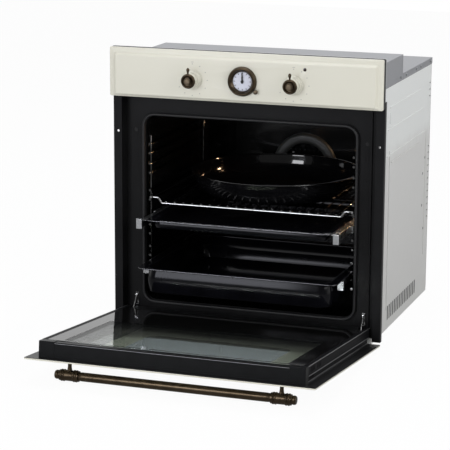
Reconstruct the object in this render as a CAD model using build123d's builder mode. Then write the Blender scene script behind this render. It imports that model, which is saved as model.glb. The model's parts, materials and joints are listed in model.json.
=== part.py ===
from build123d import *
import math
import os

os.makedirs("parts", exist_ok=True)

# A built-in oven with its door open. Millimetres, +Z up, the front faces -Y.
# The origin is the middle of the casing's underside, which stands on the cabinet's shelf.

# Overall sizes
front_width = 595.0
front_height = 595.0
casing_width = 544.0
casing_height = 546.0
raised_box_height = 41.0
casing_back = 250.0
raised_box_back = -26.0
fascia_front = -290.0
frame_bottom = 14.0
sheet = 1.5
panel_sheet = 1.2

# Control fascia
fascia_height = 104.0
fascia_depth = 20.0
fascia_radius = 3.0
field_rise = 6.0
field_half = 283.0
field_low_border = 6.0
field_top_border = 15.0
field_bevel = 35.0

# Front frame
rim_width = 18.5
channel_width = 13.0
recess_depth = 22.0
channel_depth = 26.0
recess_gap = 2.0
frame_over_fascia = 15.0
lip_depth = 12.0
cabinet_hole_inset = 10.5
cabinet_hole_height = 427.0
cabinet_hole_radius = 2.5
buffer_across = 255.0
buffer_height = 428.0
buffer_radius = 4.0

# Cavity
mouth_half = 232.0
mouth_low = 57.0
mouth_high = 460.0
mouth_radius = 22.0
wall_step = 4.0
liner_flange = 13.0
liner_back = 186.0
gasket_width = 6.2
gasket_gap = 0.8
insulation_side = 24.5
insulation_top = 26.5
insulation_back = 20.5

# Door, in its own frame: a runs up from its lower edge, t runs in from its outer face
door_length = 480.0
door_half = 297.0
door_face = 5.0
door_low = 7.4
panel_thick = 4.0
door_inner_face = 37.0
open_angle = 84.5
hinge_a = 8.6
hinge_t = 25.0
rail_out = 272.5
rail_in = 262.5
bottom_rail_height = 38.0
top_profile_inset = 17.0
top_profile_width = 17.0
cap_in = 240.0
window_half = 180.0
window_low = 150.0
window_high = 390.0
window_radius = 25.0
outer_glass_lap = 15.0
glass_thick = 4.0
middle_glass_t = 20.0
middle_glass_thick = 3.0
middle_glass_low = 100.0
shelf_t = 19.0
lower_web = 268.5
vent_count = 5
vent_pitch = 6.0
vent_width = 2.4

# Door hinges
hinge_across = 255.0
arm_thick = 3.0
arm_half_width = 6.0
pin_radius = 4.0
running_gap = 0.05
cheek_gap = 1.2
cheek_thick = 1.8
cheek_length = 95.0
cheek_low_t = 18.0
cheek_high_t = 32.0
slot_low = 42.0
slot_high = 69.0
slot_half = 3.5
arm_height = 58.5
arm_end = -206.0

# Handle
handle_inset = 45.5
handle_drop = 33.0
bar_radius = 9.0
collar_radius = 12.0
collar_length = 41.0
post_across = 218.0
post_radius = 4.0
end_cap_length = 10.0
end_cap_radius = 9.0

# Knobs
knob_across = 110.0
knob_height = 549.0
knob_gap = 0.6
skirt_radius = 17.0
cap_ring_radius = 15.5
cap_front = 35.0
boss_radius = 7.0
pointer_reach = 28.0
spindle_radius = 3.0
spindle_clearance = 2.0
switch_size = 40.0
switch_depth = 29.0
spindle_seat = 16.0

# Clock and lamp on the fascia
clock_height = 551.0
bezel_radius = 31.0
bezel_inner = 23.5
bezel_depth = 7.0
clock_hole = 27.0
setting_across = 30.5
setting_drop = 20.0
setting_radius = 4.5
setting_stem = 2.0
arbor_radius = 0.8
indicator_across = 133.7
indicator_height = 582.0
indicator_radius = 3.6

# Racks, shelf and pan
wire_radius = 2.5
rack_across = 226.0
rack_front = -243.0
rack_back = 126.0
rack_posts = (-224.0, 110.0)
rack_low = 100.0
rack_high = 412.0
level_heights = (127.0, 163.0, 211.0, 286.0, 344.0, 387.0)
level_half_gap = 10.0
seat_gap = 0.3
shelf_level = 3
shelf_rail_across = 224.0
shelf_front = -239.0
shelf_back = 112.0
grid_drop = 12.0
grid_half = 202.0
rod_radius = 1.5
rod_count = 20
rod_pitch = 20.0
pan_radius = 188.0
pan_base_radius = 132.0
pan_centre = -56.0
pan_height = 50.0
pan_wall = 1.4
pan_lip = 9.0

# Trays and their runners
tray_sheet = 1.2
tray_corner = 16.0
upper_rim_height = 250.0
upper_rim_half = 205.0
upper_rim_front = -332.0
upper_tray_depth = 19.0
upper_flange = 17.0
lower_rim_height = 147.0
lower_rim_half = 219.5
lower_rim_front = -342.0
lower_tray_depth = 55.0
lower_flange = 20.0
tray_length = 370.0
tray_taper = 12.0
slide_in = 211.5
slide_thick = 5.2
runner_height = 16.0
runner_length = 352.0
fixed_back = 122.0
tongue_clearance = 0.4
tongue_setback = 106.0
end_cap_width = 12.5
end_cap_height = 21.0
end_cap_depth = 10.0
upper_cap_front = -333.0
lower_cap_front = -293.0
upper_tray_push = 92.0
lower_tray_push = 102.0
cap_clearance = 3.0

# Fan, heaters and lamp
fan_height = 292.0
fan_cover_half = 175.0
fan_cover_reach = 115.0
fan_cover_depth = 22.0
fan_ring_radius = 76.0
fan_ring_band = 24.0
fan_ring_rise = 10.0
fan_wheel_radius = 66.0
fan_wheel_depth = 12.0
fan_shaft_radius = 3.0
fan_motor_radius = 36.0
fan_motor_depth = 34.0
heater_radius = 3.25
ring_heater_radius = 92.0
grill_height = 448.0
lamp_across = 195.0
lamp_height = 425.0
lamp_radius = 24.0

# Cooling blower above the cavity
blower_depth_place = 30.0
blower_half = 100.0
blower_radius = 20.0
blower_box_depth = 52.0
duct_low = 508.5
duct_high = 520.0
outlet_slot_half = 140.0

# Values that follow
front_half = front_width / 2
casing_half = casing_width / 2
panel_out = casing_half - panel_sheet
panel_in = panel_out - panel_sheet
frame_front = fascia_front + fascia_depth
front_top = frame_bottom + front_height
fascia_low = front_top - fascia_height
field_front = fascia_front - field_rise
recess_half = front_half - rim_width
recess_top = fascia_low + recess_gap
inner_half = recess_half - channel_width
inner_face = frame_front + recess_depth
channel_floor = frame_front + channel_depth
casing_front = channel_floor + sheet
frame_top = fascia_low + frame_over_fascia
raised_box_top = casing_height + raised_box_height
cavity_half = mouth_half + wall_step
cavity_low = mouth_low - wall_step
cavity_high = mouth_high + wall_step
liner_front = inner_face + sheet
hinge_y = fascia_front - door_face + hinge_t
hinge_z = frame_bottom + door_low + hinge_a
closed_inner_face = fascia_front - door_face + door_inner_face
top_profile_high = door_length - top_profile_inset
top_profile_low = top_profile_high - top_profile_width
handle_a = door_length - handle_inset
door_tilt = math.radians(open_angle)
up_door = Vector(0, -math.sin(door_tilt), math.cos(door_tilt))
through_door = Vector(0, math.cos(door_tilt), math.sin(door_tilt))
door_corner = Vector(0, hinge_y, hinge_z) - up_door * hinge_a - through_door * hinge_t
door_frame = Plane(origin=door_corner, x_dir=(-1, 0, 0), z_dir=through_door)
slide_out = slide_in + slide_thick
upper_fixed_front = upper_cap_front + end_cap_depth + upper_tray_push + cap_clearance
lower_fixed_front = lower_cap_front + end_cap_depth + lower_tray_push + cap_clearance
runner_back_web = rack_across - wire_radius - 0.2
bracket_back = frame_front + sheet
wire_top = level_heights[shelf_level] - level_half_gap
grid_height = wire_top + 4.9 - grid_drop
pan_base_height = grid_height + wire_radius + 2 * rod_radius + seat_gap
insulation_low = cavity_low - sheet - insulation_top
insulation_high = cavity_high + sheet + insulation_top
insulation_half = cavity_half + sheet + insulation_side
insulation_rear = liner_back + sheet + insulation_back


def slab(x, y, z, mode=Mode.ADD):
    """Adds or cuts the block between three pairs of low and high coordinates."""
    with Locations(((x[0] + x[1]) / 2, (y[0] + y[1]) / 2, (z[0] + z[1]) / 2)):
        Box(x[1] - x[0], y[1] - y[0], z[1] - z[0], mode=mode)


def span(side, near, far):
    """The low and high x of a stretch on one side, from its distances to the middle."""
    return tuple(sorted((side * near, side * far)))


def upright(y):
    """The plane across the oven at depth y. It reads x across and z up, and looks forwards."""
    return Plane.XZ.offset(-y)


def rod_forward(x, y, z, radius, length, mode=Mode.ADD):
    """Adds or cuts a round rod that runs forwards from depth y."""
    with BuildSketch(upright(y)) as end:
        with Locations((x, z)):
            Circle(radius)
    extrude(end.sketch, amount=length, mode=mode)


def rod_across(x, y, z, radius, mode=Mode.ADD):
    """Adds or cuts a round rod that runs across the oven between a low and a high x."""
    with BuildSketch(Plane.YZ.offset(x[0])) as end:
        with Locations((y, z)):
            Circle(radius)
    extrude(end.sketch, amount=x[1] - x[0], mode=mode)


def rod_up(x, y, z, radius, mode=Mode.ADD):
    """Adds or cuts an upright round rod between a low and a high z."""
    with BuildSketch(Plane.XY.offset(z[0])) as end:
        with Locations((x, y)):
            Circle(radius)
    extrude(end.sketch, amount=z[1] - z[0], mode=mode)


def plate_forward(x, z, y, radius, thick, mode=Mode.ADD):
    """Adds or cuts a round-cornered plate between pairs x and z that runs forwards from depth y."""
    with BuildSketch(upright(y)) as face:
        with Locations(((x[0] + x[1]) / 2, (z[0] + z[1]) / 2)):
            RectangleRounded(x[1] - x[0], z[1] - z[0], radius)
    extrude(face.sketch, amount=thick, mode=mode)


def mouth_plate(grow, y, thick, mode=Mode.ADD):
    """Adds or cuts a plate of the cavity mouth's outline, grown on every side."""
    reach = mouth_half + grow
    heights = (mouth_low - grow, mouth_high + grow)
    plate_forward((-reach, reach), heights, y, mouth_radius + grow, thick, mode)


# Front frame: an enamelled sheet with a rim, side channels and a recess for the door
with BuildPart() as front_frame:
    rim_depths = (frame_front, frame_front + sheet)
    slab((-front_half, front_half), rim_depths, (frame_bottom, frame_top))
    slab((-recess_half, recess_half), rim_depths, (frame_bottom, recess_top), Mode.SUBTRACT)
    wall = recess_half + sheet
    slab((-wall, wall), (frame_front, casing_front), (recess_top, recess_top + sheet))
    slab((-inner_half, inner_half), (inner_face, inner_face + sheet), (frame_bottom, recess_top))
    lip_z = (frame_bottom, frame_bottom + sheet)
    slab((-inner_half, inner_half), (inner_face, inner_face + lip_depth), lip_z)
    for side in (-1, 1):
        outer_lip = span(side, front_half - sheet, front_half)
        slab(outer_lip, (frame_front, frame_front + lip_depth), (frame_bottom, frame_top))
        wall_x = span(side, recess_half, recess_half + sheet)
        slab(wall_x, (frame_front, casing_front), (frame_bottom, recess_top + sheet))
        floor_x = span(side, inner_half - sheet, recess_half + sheet)
        slab(floor_x, (channel_floor, casing_front), (frame_bottom, recess_top + sheet))
        step_x = span(side, inner_half - sheet, inner_half)
        slab(step_x, (inner_face, casing_front), (frame_bottom, recess_top))
        slot_x = span(side, hinge_across - slot_half, hinge_across + slot_half)
        slot_y = (inner_face, inner_face + sheet)
        slab(slot_x, slot_y, (slot_low, slot_high), Mode.SUBTRACT)
        hole_x = side * (front_half - cabinet_hole_inset)
        hole_y = frame_front + sheet
        rod_forward(hole_x, hole_y, cabinet_hole_height, cabinet_hole_radius, sheet, Mode.SUBTRACT)
        seat_y = inner_face + sheet
        rod_forward(side * buffer_across, seat_y, buffer_height, buffer_radius, sheet, Mode.SUBTRACT)
    mouth_plate(0, inner_face + sheet, sheet, Mode.SUBTRACT)
    outlet_y = (frame_front + 3 * sheet, frame_front + recess_depth - 2 * sheet)
    outlet_x = (-outlet_slot_half, outlet_slot_half)
    slab(outlet_x, outlet_y, (recess_top, recess_top + sheet), Mode.SUBTRACT)
front_frame.part.label = "front_frame"
export_step(front_frame.part, "parts/front_frame.step")

# Rubber buffers that the door meets, flush in the frame
with BuildPart() as door_buffers:
    for side in (-1, 1):
        seat_y = inner_face + 2 * sheet
        rod_forward(side * buffer_across, seat_y, buffer_height, buffer_radius - 0.1, 2 * sheet)
door_buffers.part.label = "door_buffers"
export_step(door_buffers.part, "parts/door_buffers.step")

# Door gasket: a tube of seal round the mouth that the closed door just meets
gasket_depth = inner_face - closed_inner_face - seat_gap
with BuildPart() as door_gasket:
    mouth_plate(gasket_gap + gasket_width, inner_face, gasket_depth)
    front_edges = door_gasket.edges().group_by(Axis.Y)[0]
    fillet(front_edges, gasket_width / 2 - 0.4)
    mouth_plate(gasket_gap, inner_face, gasket_depth, Mode.SUBTRACT)
door_gasket.part.label = "door_gasket"
export_step(door_gasket.part, "parts/door_gasket.step")

# Cavity liner: the enamelled box behind the mouth
with BuildPart() as cavity_liner:
    mouth_plate(wall_step + liner_flange, liner_front + sheet, sheet)
    mouth_plate(wall_step + sheet, liner_back + sheet, liner_back + sheet - liner_front)
    mouth_plate(wall_step, liner_back, liner_back - liner_front, Mode.SUBTRACT)
    rod_forward(0, liner_back + sheet, fan_height, fan_shaft_radius + 2, sheet, Mode.SUBTRACT)
    lamp_place = (lamp_across, liner_back + sheet, lamp_height)
    rod_forward(*lamp_place, lamp_radius + seat_gap, sheet, Mode.SUBTRACT)
    for leg_x in (-30, 30):
        leg_hole = heater_radius + 0.2
        rod_forward(leg_x, liner_back + sheet, grill_height, leg_hole, sheet, Mode.SUBTRACT)
        leg_z = fan_height + ring_heater_radius
        rod_forward(leg_x / 3, liner_back + sheet, leg_z, leg_hole, sheet, Mode.SUBTRACT)
cavity_liner.part.label = "cavity_liner"
export_step(cavity_liner.part, "parts/cavity_liner.step")

# Insulation blanket: fills round the liner, with pockets for what passes through it
receiver_half = 5.5
receiver_low = 40.0
receiver_high = 78.0
with BuildPart() as insulation:
    start = liner_front + sheet
    depths = (start, insulation_rear)
    slab((-insulation_half, insulation_half), depths, (insulation_low, insulation_high))
    mouth_plate(wall_step + sheet, liner_back + sheet, liner_back + sheet - start, Mode.SUBTRACT)
    rod_forward(0, insulation_rear, fan_height, 14, insulation_back, Mode.SUBTRACT)
    lamp_pocket = (lamp_across, insulation_rear, lamp_height)
    rod_forward(*lamp_pocket, lamp_radius + 2, insulation_back, Mode.SUBTRACT)
    leg_band = (-40, 40)
    slab(leg_band, (liner_back + sheet, insulation_rear), (360, 462), Mode.SUBTRACT)
    element_low = cavity_low - sheet - 2 * heater_radius - 1
    slab((-190, 190), (-200, 130), (element_low, cavity_low), Mode.SUBTRACT)
    for side in (-1, 1):
        pocket_x = span(side, hinge_across - receiver_half - 1, insulation_half)
        slab(pocket_x, (start, arm_end + 12), (insulation_low, receiver_high + 4), Mode.SUBTRACT)
insulation.part.label = "insulation"
export_step(insulation.part, "parts/insulation.step")

# Hinge arms: steel receiver boxes behind the frame, and the levers that run from them to the pivots
arm_rise = arm_height - hinge_z
arm_run = inner_face + 4 - hinge_y
arm_length = math.hypot(arm_run, arm_rise)
arm_angle = math.degrees(math.atan2(arm_rise, arm_run))
with BuildPart() as hinge_arms:
    for side in (-1, 1):
        arm_plane = Plane.YZ.offset(side * hinge_across - arm_thick / 2)
        with BuildSketch(arm_plane) as lever:
            with Locations((hinge_y + arm_run / 2, hinge_z + arm_rise / 2)):
                SlotCenterToCenter(arm_length, 2 * arm_half_width, rotation=arm_angle)
            with Locations((hinge_y, hinge_z)):
                Circle(arm_half_width + 1)
            tail_start = hinge_y + arm_run
            with Locations(((tail_start + arm_end) / 2, arm_height)):
                Rectangle(arm_end - tail_start, 2 * arm_half_width)
            with Locations((hinge_y, hinge_z)):
                Circle(pin_radius + running_gap, mode=Mode.SUBTRACT)
        extrude(lever.sketch, amount=arm_thick)
        box_x = span(side, hinge_across - receiver_half, hinge_across + receiver_half)
        slab(box_x, (liner_front, arm_end + 6), (receiver_low, receiver_high))
        core_z = (arm_height + arm_half_width, receiver_high - sheet)
        low_core_z = (receiver_low + sheet, arm_height - arm_half_width)
        core_x = span(side, hinge_across - slot_half, hinge_across + slot_half)
        for pocket_z in (core_z, low_core_z):
            slab(core_x, (liner_front, arm_end + 1), pocket_z, Mode.SUBTRACT)
hinge_arms.part.label = "hinge_arms"
export_step(hinge_arms.part, "parts/hinge_arms.step")

# Side panels with pressed beads, bottom louvres and rear slots
bead_half = 1.8
across_beads = (
    (486.0, -126.0, 148.0),
    (440.0, -139.0, 178.0),
    (384.0, -145.0, 206.0),
    (366.0, -105.0, 146.0),
)
upright_beads = ((-122.0, 44.0, 394.0), (209.0, 94.0, 386.0), (-120.0, 450.0, 476.0))
louvre_ys = [-108.0 + 15.2 * step for step in range(17)]
louvre_z = (20.0, 51.0)
rear_slot_zs = [178.0 + 15.0 * step for step in range(12)] + [459.0, 474.0, 489.0]
rear_slot_y = (234.0, 246.0)
top_screw_ys = (-42.0, 6.0, 100.0, 140.0, 235.0)
rear_screw_zs = (60.0, 300.0, 500.0)
screw_radius = 1.9
top_flange = 14.0
for side, side_name in ((-1, "left"), (1, "right")):
    with BuildPart() as side_panel:
        plate_x = span(side, panel_in, panel_out)
        plate_y = (casing_front, casing_back - panel_sheet)
        slab(plate_x, plate_y, (0, casing_height - panel_sheet))
        bead_x = span(side, panel_in, casing_half)
        with BuildSketch(Plane.YZ.offset(bead_x[0])) as beads:
            for z, near_y, far_y in across_beads:
                with Locations(((near_y + far_y) / 2, z)):
                    SlotOverall(far_y - near_y, 2 * bead_half)
            for y, low_z, high_z in upright_beads:
                with Locations((y, (low_z + high_z) / 2)):
                    SlotOverall(high_z - low_z, 2 * bead_half, rotation=90)
        extrude(beads.sketch, amount=2 * panel_sheet)
        for y in louvre_ys:
            slab(plate_x, (y - 1.5, y + 1.5), louvre_z, Mode.SUBTRACT)
        for z in rear_slot_zs:
            slab(plate_x, rear_slot_y, (z - 1.5, z + 1.5), Mode.SUBTRACT)
        for y in top_screw_ys:
            screw_z = casing_height - top_flange / 2
            rod_across(plate_x, y, screw_z, screw_radius + 0.1, Mode.SUBTRACT)
        rear_fold_x = span(side, panel_in - 12, panel_in)
        rear_fold_y = (casing_back - 3 * panel_sheet, casing_back - 2 * panel_sheet)
        slab(rear_fold_x, rear_fold_y, (8, 536))
        for z in rear_screw_zs:
            place = (side * (panel_in - 6), rear_fold_y[1], z)
            rod_forward(*place, screw_radius + 0.1, panel_sheet, Mode.SUBTRACT)
        front_fold_x = span(side, panel_in - 7, panel_in)
        slab(front_fold_x, (casing_front, casing_front + panel_sheet), (90, 500))
    side_panel.part.label = f"{side_name}_side_panel"
    export_step(side_panel.part, f"parts/{side_name}_side_panel.step")

# Base panel: the underside, folded up in front to meet the frame
with BuildPart() as base_panel:
    slab((-panel_in, panel_in), (casing_front, casing_back - panel_sheet), (0, panel_sheet))
    fold_y = (casing_front, casing_front + panel_sheet)
    slab((-panel_in, panel_in), fold_y, (panel_sheet, frame_bottom))
base_panel.part.label = "base_panel"
export_step(base_panel.part, "parts/base_panel.step")

# Rear panel with vents, a hole for the cable inlet and an opening for the fan motor's air
inlet_across = -180.0
inlet_height = 500.0
inlet_hole = 12.0
with BuildPart() as rear_panel:
    rear_y = (casing_back - 2 * panel_sheet, casing_back - panel_sheet)
    slab((-panel_in, panel_in), rear_y, (panel_sheet, casing_height - panel_sheet))
    for row_z in (450.0, 462.0, 474.0):
        for column in range(12):
            vent_x = -66.0 + 12.0 * column
            slab((vent_x - 2, vent_x + 2), rear_y, (row_z - 4, row_z + 4), Mode.SUBTRACT)
    for row_z in (60.0, 72.0, 84.0):
        for column in range(12):
            vent_x = -66.0 + 12.0 * column
            slab((vent_x - 2, vent_x + 2), rear_y, (row_z - 4, row_z + 4), Mode.SUBTRACT)
    inlet_place = (inlet_across, rear_y[1], inlet_height)
    rod_forward(*inlet_place, inlet_hole + 0.1, panel_sheet, Mode.SUBTRACT)
    for side in (-1, 1):
        for z in rear_screw_zs:
            place = (side * (panel_in - 6), rear_y[1], z)
            rod_forward(*place, screw_radius + 0.1, panel_sheet, Mode.SUBTRACT)
rear_panel.part.label = "rear_panel"
export_step(rear_panel.part, "parts/rear_panel.step")

# Rear top plate, folded down over the sides and the rear
seam_y = raised_box_back + 4.5
with BuildPart() as rear_top_plate:
    plate_z = (casing_height - panel_sheet, casing_height)
    slab((-panel_out, panel_out), (raised_box_back - 14, casing_back - panel_sheet), plate_z)
    slab((-casing_half, casing_half), (seam_y, casing_back - panel_sheet), plate_z)
    fold_z = (casing_height - top_flange, casing_height)
    slab((-casing_half, casing_half), (casing_back - panel_sheet, casing_back), fold_z)
    for side in (-1, 1):
        fold_x = span(side, panel_out, casing_half)
        slab(fold_x, (seam_y, casing_back - panel_sheet), fold_z)
        for y in top_screw_ys[1:]:
            screw_z = casing_height - top_flange / 2
            rod_across(fold_x, y, screw_z, screw_radius + 0.1, Mode.SUBTRACT)
rear_top_plate.part.label = "rear_top_plate"
export_step(rear_top_plate.part, "parts/rear_top_plate.step")

# Raised front cover over the controls and the air duct
with BuildPart() as front_top_cover:
    cover_y = (bracket_back, raised_box_back)
    slab((-casing_half, casing_half), cover_y, (casing_height, raised_box_top))
    core_x = (-panel_out, panel_out)
    core_y = (bracket_back, raised_box_back - panel_sheet)
    slab(core_x, core_y, (casing_height, raised_box_top - panel_sheet), Mode.SUBTRACT)
    for side in (-1, 1):
        fold_x = span(side, panel_out, casing_half)
        fold_z = (casing_height - top_flange, casing_height)
        slab(fold_x, (casing_front, seam_y - 0.2), fold_z)
        screw_z = casing_height - top_flange / 2
        rod_across(fold_x, top_screw_ys[0], screw_z, screw_radius + 0.1, Mode.SUBTRACT)
front_top_cover.part.label = "front_top_cover"
export_step(front_top_cover.part, "parts/front_top_cover.step")

# Casing screws: one group of pan heads with their shanks
head_radius = 3.5
head_height = 1.4
shank = 5.0
with BuildPart() as casing_screws:
    for side in (-1, 1):
        for y in top_screw_ys:
            screw_z = casing_height - top_flange / 2
            shank_x = span(side, casing_half - shank, casing_half)
            rod_across(shank_x, y, screw_z, screw_radius)
            head_x = span(side, casing_half, casing_half + head_height)
            rod_across(head_x, y, screw_z, head_radius)
        for z in rear_screw_zs:
            screw_x = side * (panel_in - 6)
            rod_forward(screw_x, casing_back - panel_sheet, z, screw_radius, 2 * panel_sheet - 0.2)
            rod_forward(screw_x, casing_back - panel_sheet + head_height, z, head_radius, head_height)
casing_screws.part.label = "casing_screws"
export_step(casing_screws.part, "parts/casing_screws.step")

# Mains inlet: a flanged bush in the rear panel, and the terminal block inside it
inlet_bore = 5.0
with BuildPart() as mains_inlet:
    outer_y = casing_back - panel_sheet
    rod_forward(inlet_across, outer_y, inlet_height, inlet_hole, 12)
    rod_forward(inlet_across, outer_y + 3, inlet_height, inlet_hole + 4, 3)
    rod_forward(inlet_across, outer_y + 3, inlet_height, inlet_bore, 15, Mode.SUBTRACT)
    block_x = (inlet_across - 30, inlet_across + 30)
    slab(block_x, (160, 195), (insulation_high, insulation_high + 14))
    for post in range(3):
        post_x = inlet_across - 18 + 18 * post
        rod_up(post_x, 177, (insulation_high + 14, insulation_high + 20), 3)
mains_inlet.part.label = "mains_inlet"
export_step(mains_inlet.part, "parts/mains_inlet.step")

# Control bracket: a folded plate behind the fascia that carries the controls
hole_x = (-knob_across, knob_across)
with BuildPart() as control_bracket:
    slab((-front_half, front_half), (frame_front, bracket_back), (frame_top, front_top))
    fold_y = (bracket_back, casing_front)
    slab((-casing_half, casing_half), fold_y, (frame_top, frame_top + sheet))
    for side in (-1, 1):
        fold_x = span(side, casing_half - sheet, casing_half)
        slab(fold_x, fold_y, (frame_top + sheet, casing_height))
    for x in hole_x:
        rod_forward(x, bracket_back, knob_height, spindle_radius + spindle_clearance, sheet, Mode.SUBTRACT)
control_bracket.part.label = "control_bracket"
export_step(control_bracket.part, "parts/control_bracket.step")

# Control fascia: a pressed shell with a raised, bevelled field
field_z = (fascia_low + field_low_border, front_top - field_top_border)
field_middle = (field_z[0] + field_z[1]) / 2
field_tall = field_z[1] - field_z[0]
bevel_run = field_rise * math.tan(math.radians(field_bevel))
with BuildPart() as control_fascia:
    fascia_x = (-front_half, front_half)
    plate_forward(fascia_x, (fascia_low, front_top), frame_front, fascia_radius, fascia_depth)
    with BuildSketch(upright(fascia_front)) as field:
        with Locations((0, field_middle)):
            Rectangle(2 * (field_half + bevel_run), field_tall + 2 * bevel_run)
    extrude(field.sketch, amount=field_rise, taper=field_bevel)
    hollow_x = (-front_half + sheet, front_half - sheet)
    hollow_y = (fascia_front + sheet, frame_front)
    slab(hollow_x, hollow_y, (fascia_low + sheet, front_top - sheet), Mode.SUBTRACT)
    core_x = (-field_half + sheet, field_half - sheet)
    core_y = (field_front + sheet, fascia_front + sheet)
    slab(core_x, core_y, (field_z[0] + sheet, field_z[1] - sheet), Mode.SUBTRACT)
    wall_y = field_front + sheet
    for x in hole_x:
        rod_forward(x, wall_y, knob_height, spindle_radius + spindle_clearance, sheet, Mode.SUBTRACT)
    rod_forward(0, wall_y, clock_height, clock_hole, sheet, Mode.SUBTRACT)
    stem_hole = setting_stem + running_gap
    stem_place = (setting_across, wall_y, clock_height - setting_drop)
    rod_forward(*stem_place, stem_hole, sheet, Mode.SUBTRACT)
    lamp_place = (indicator_across, wall_y, indicator_height)
    rod_forward(*lamp_place, indicator_radius + 0.1, sheet, Mode.SUBTRACT)
control_fascia.part.label = "control_fascia"
export_step(control_fascia.part, "parts/control_fascia.step")

# Indicator lamp: a round light pipe from the bracket to just proud of the field
with BuildPart() as indicator_lamp:
    pipe = frame_front - field_front + 1
    rod_forward(indicator_across, frame_front, indicator_height, indicator_radius, pipe)
indicator_lamp.part.label = "indicator_lamp"
export_step(indicator_lamp.part, "parts/indicator_lamp.step")

# Clock movement with its hand arbor, then dial, bezel and lens
dial_front = field_front - 0.8
dial_thick = 1.0
with BuildPart() as clock_movement:
    body = frame_front - dial_front - dial_thick
    rod_forward(0, frame_front, clock_height, clock_hole - 0.6, body)
    rod_forward(0, dial_front + dial_thick, clock_height, arbor_radius, dial_thick + 3.6)
clock_movement.part.label = "clock_movement"
export_step(clock_movement.part, "parts/clock_movement.step")

with BuildPart() as clock_dial:
    rod_forward(0, dial_front + dial_thick, clock_height, bezel_inner - 0.1, dial_thick)
    rod_forward(0, dial_front + dial_thick, clock_height, arbor_radius + 0.1, dial_thick, Mode.SUBTRACT)
clock_dial.part.label = "clock_dial"
export_step(clock_dial.part, "parts/clock_dial.step")

with BuildPart() as clock_bezel:
    bezel_plane = Plane(origin=(0, field_front, clock_height))
    with BuildSketch(bezel_plane) as bezel_section:
        with BuildLine():
            Polyline(
                (bezel_inner, 0),
                (bezel_radius, 0),
                (bezel_radius, -2.2),
                (bezel_radius - 1.6, -4.6),
                (bezel_inner + 2.4, -bezel_depth),
                (bezel_inner, -bezel_depth + 1.6),
                close=True,
            )
        make_face()
    revolve(bezel_section.sketch, axis=Axis((0, 0, clock_height), (0, 1, 0)))
clock_bezel.part.label = "clock_bezel"
export_step(clock_bezel.part, "parts/clock_bezel.step")

with BuildPart() as clock_lens:
    lens_back = field_front - bezel_depth + 2.2
    rod_forward(0, lens_back, clock_height, bezel_inner - 0.05, 1.0)
clock_lens.part.label = "clock_lens"
export_step(clock_lens.part, "parts/clock_lens.step")

# Clock hands: a hub on the arbor and a tapered pointer, both standing at twelve
hand_shapes = (("hour", 1.4, 12.5, 2.4, 1.3, 0.3), ("minute", 1.1, 18.0, 2.0, 0.7, 1.9))
for hand_name, hub_thick, reach, wide, narrow, lift in hand_shapes:
    with BuildPart() as clock_hand:
        back = dial_front - lift
        rod_forward(0, back, clock_height, 2.2, hub_thick)
        with BuildSketch(upright(back - hub_thick + 0.5)) as blade:
            with BuildLine():
                Polyline(
                    (-wide / 2, clock_height),
                    (wide / 2, clock_height),
                    (narrow / 2, clock_height + reach),
                    (-narrow / 2, clock_height + reach),
                    close=True,
                )
            make_face()
        extrude(blade.sketch, amount=0.5)
        bore = arbor_radius + running_gap
        rod_forward(0, back, clock_height, bore, hub_thick, Mode.SUBTRACT)
    clock_hand.part.label = f"clock_{hand_name}_hand"
    export_step(clock_hand.part, f"parts/clock_{hand_name}_hand.step")

# Clock setting knob on its stem
with BuildPart() as clock_setting_knob:
    setting_z = clock_height - setting_drop
    rod_forward(setting_across, field_front + 10, setting_z, setting_stem, 10.6)
    rod_forward(setting_across, field_front - 0.5, setting_z, 3.2, 2.5)
    rod_forward(setting_across, field_front - 3, setting_z, setting_radius, 6.5)
    fillet(clock_setting_knob.edges().group_by(Axis.Y)[0], 1.2)
clock_setting_knob.part.label = "clock_setting_knob"
export_step(clock_setting_knob.part, "parts/clock_setting_knob.step")

# Selector switch and thermostat: the bodies that the two spindles turn in
with BuildPart() as control_switches:
    for knob_x in hole_x:
        body_x = (knob_x - switch_size / 2, knob_x + switch_size / 2)
        body_z = (knob_height - 0.6 * switch_size, knob_height + 0.4 * switch_size)
        slab(body_x, (bracket_back, bracket_back + switch_depth), body_z)
        seat = bracket_back + spindle_seat + 2
        bore = spindle_radius + running_gap
        rod_forward(knob_x, seat, knob_height, bore, spindle_seat + 2, Mode.SUBTRACT)
control_switches.part.label = "control_switches"
export_step(control_switches.part, "parts/control_switches.step")

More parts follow.
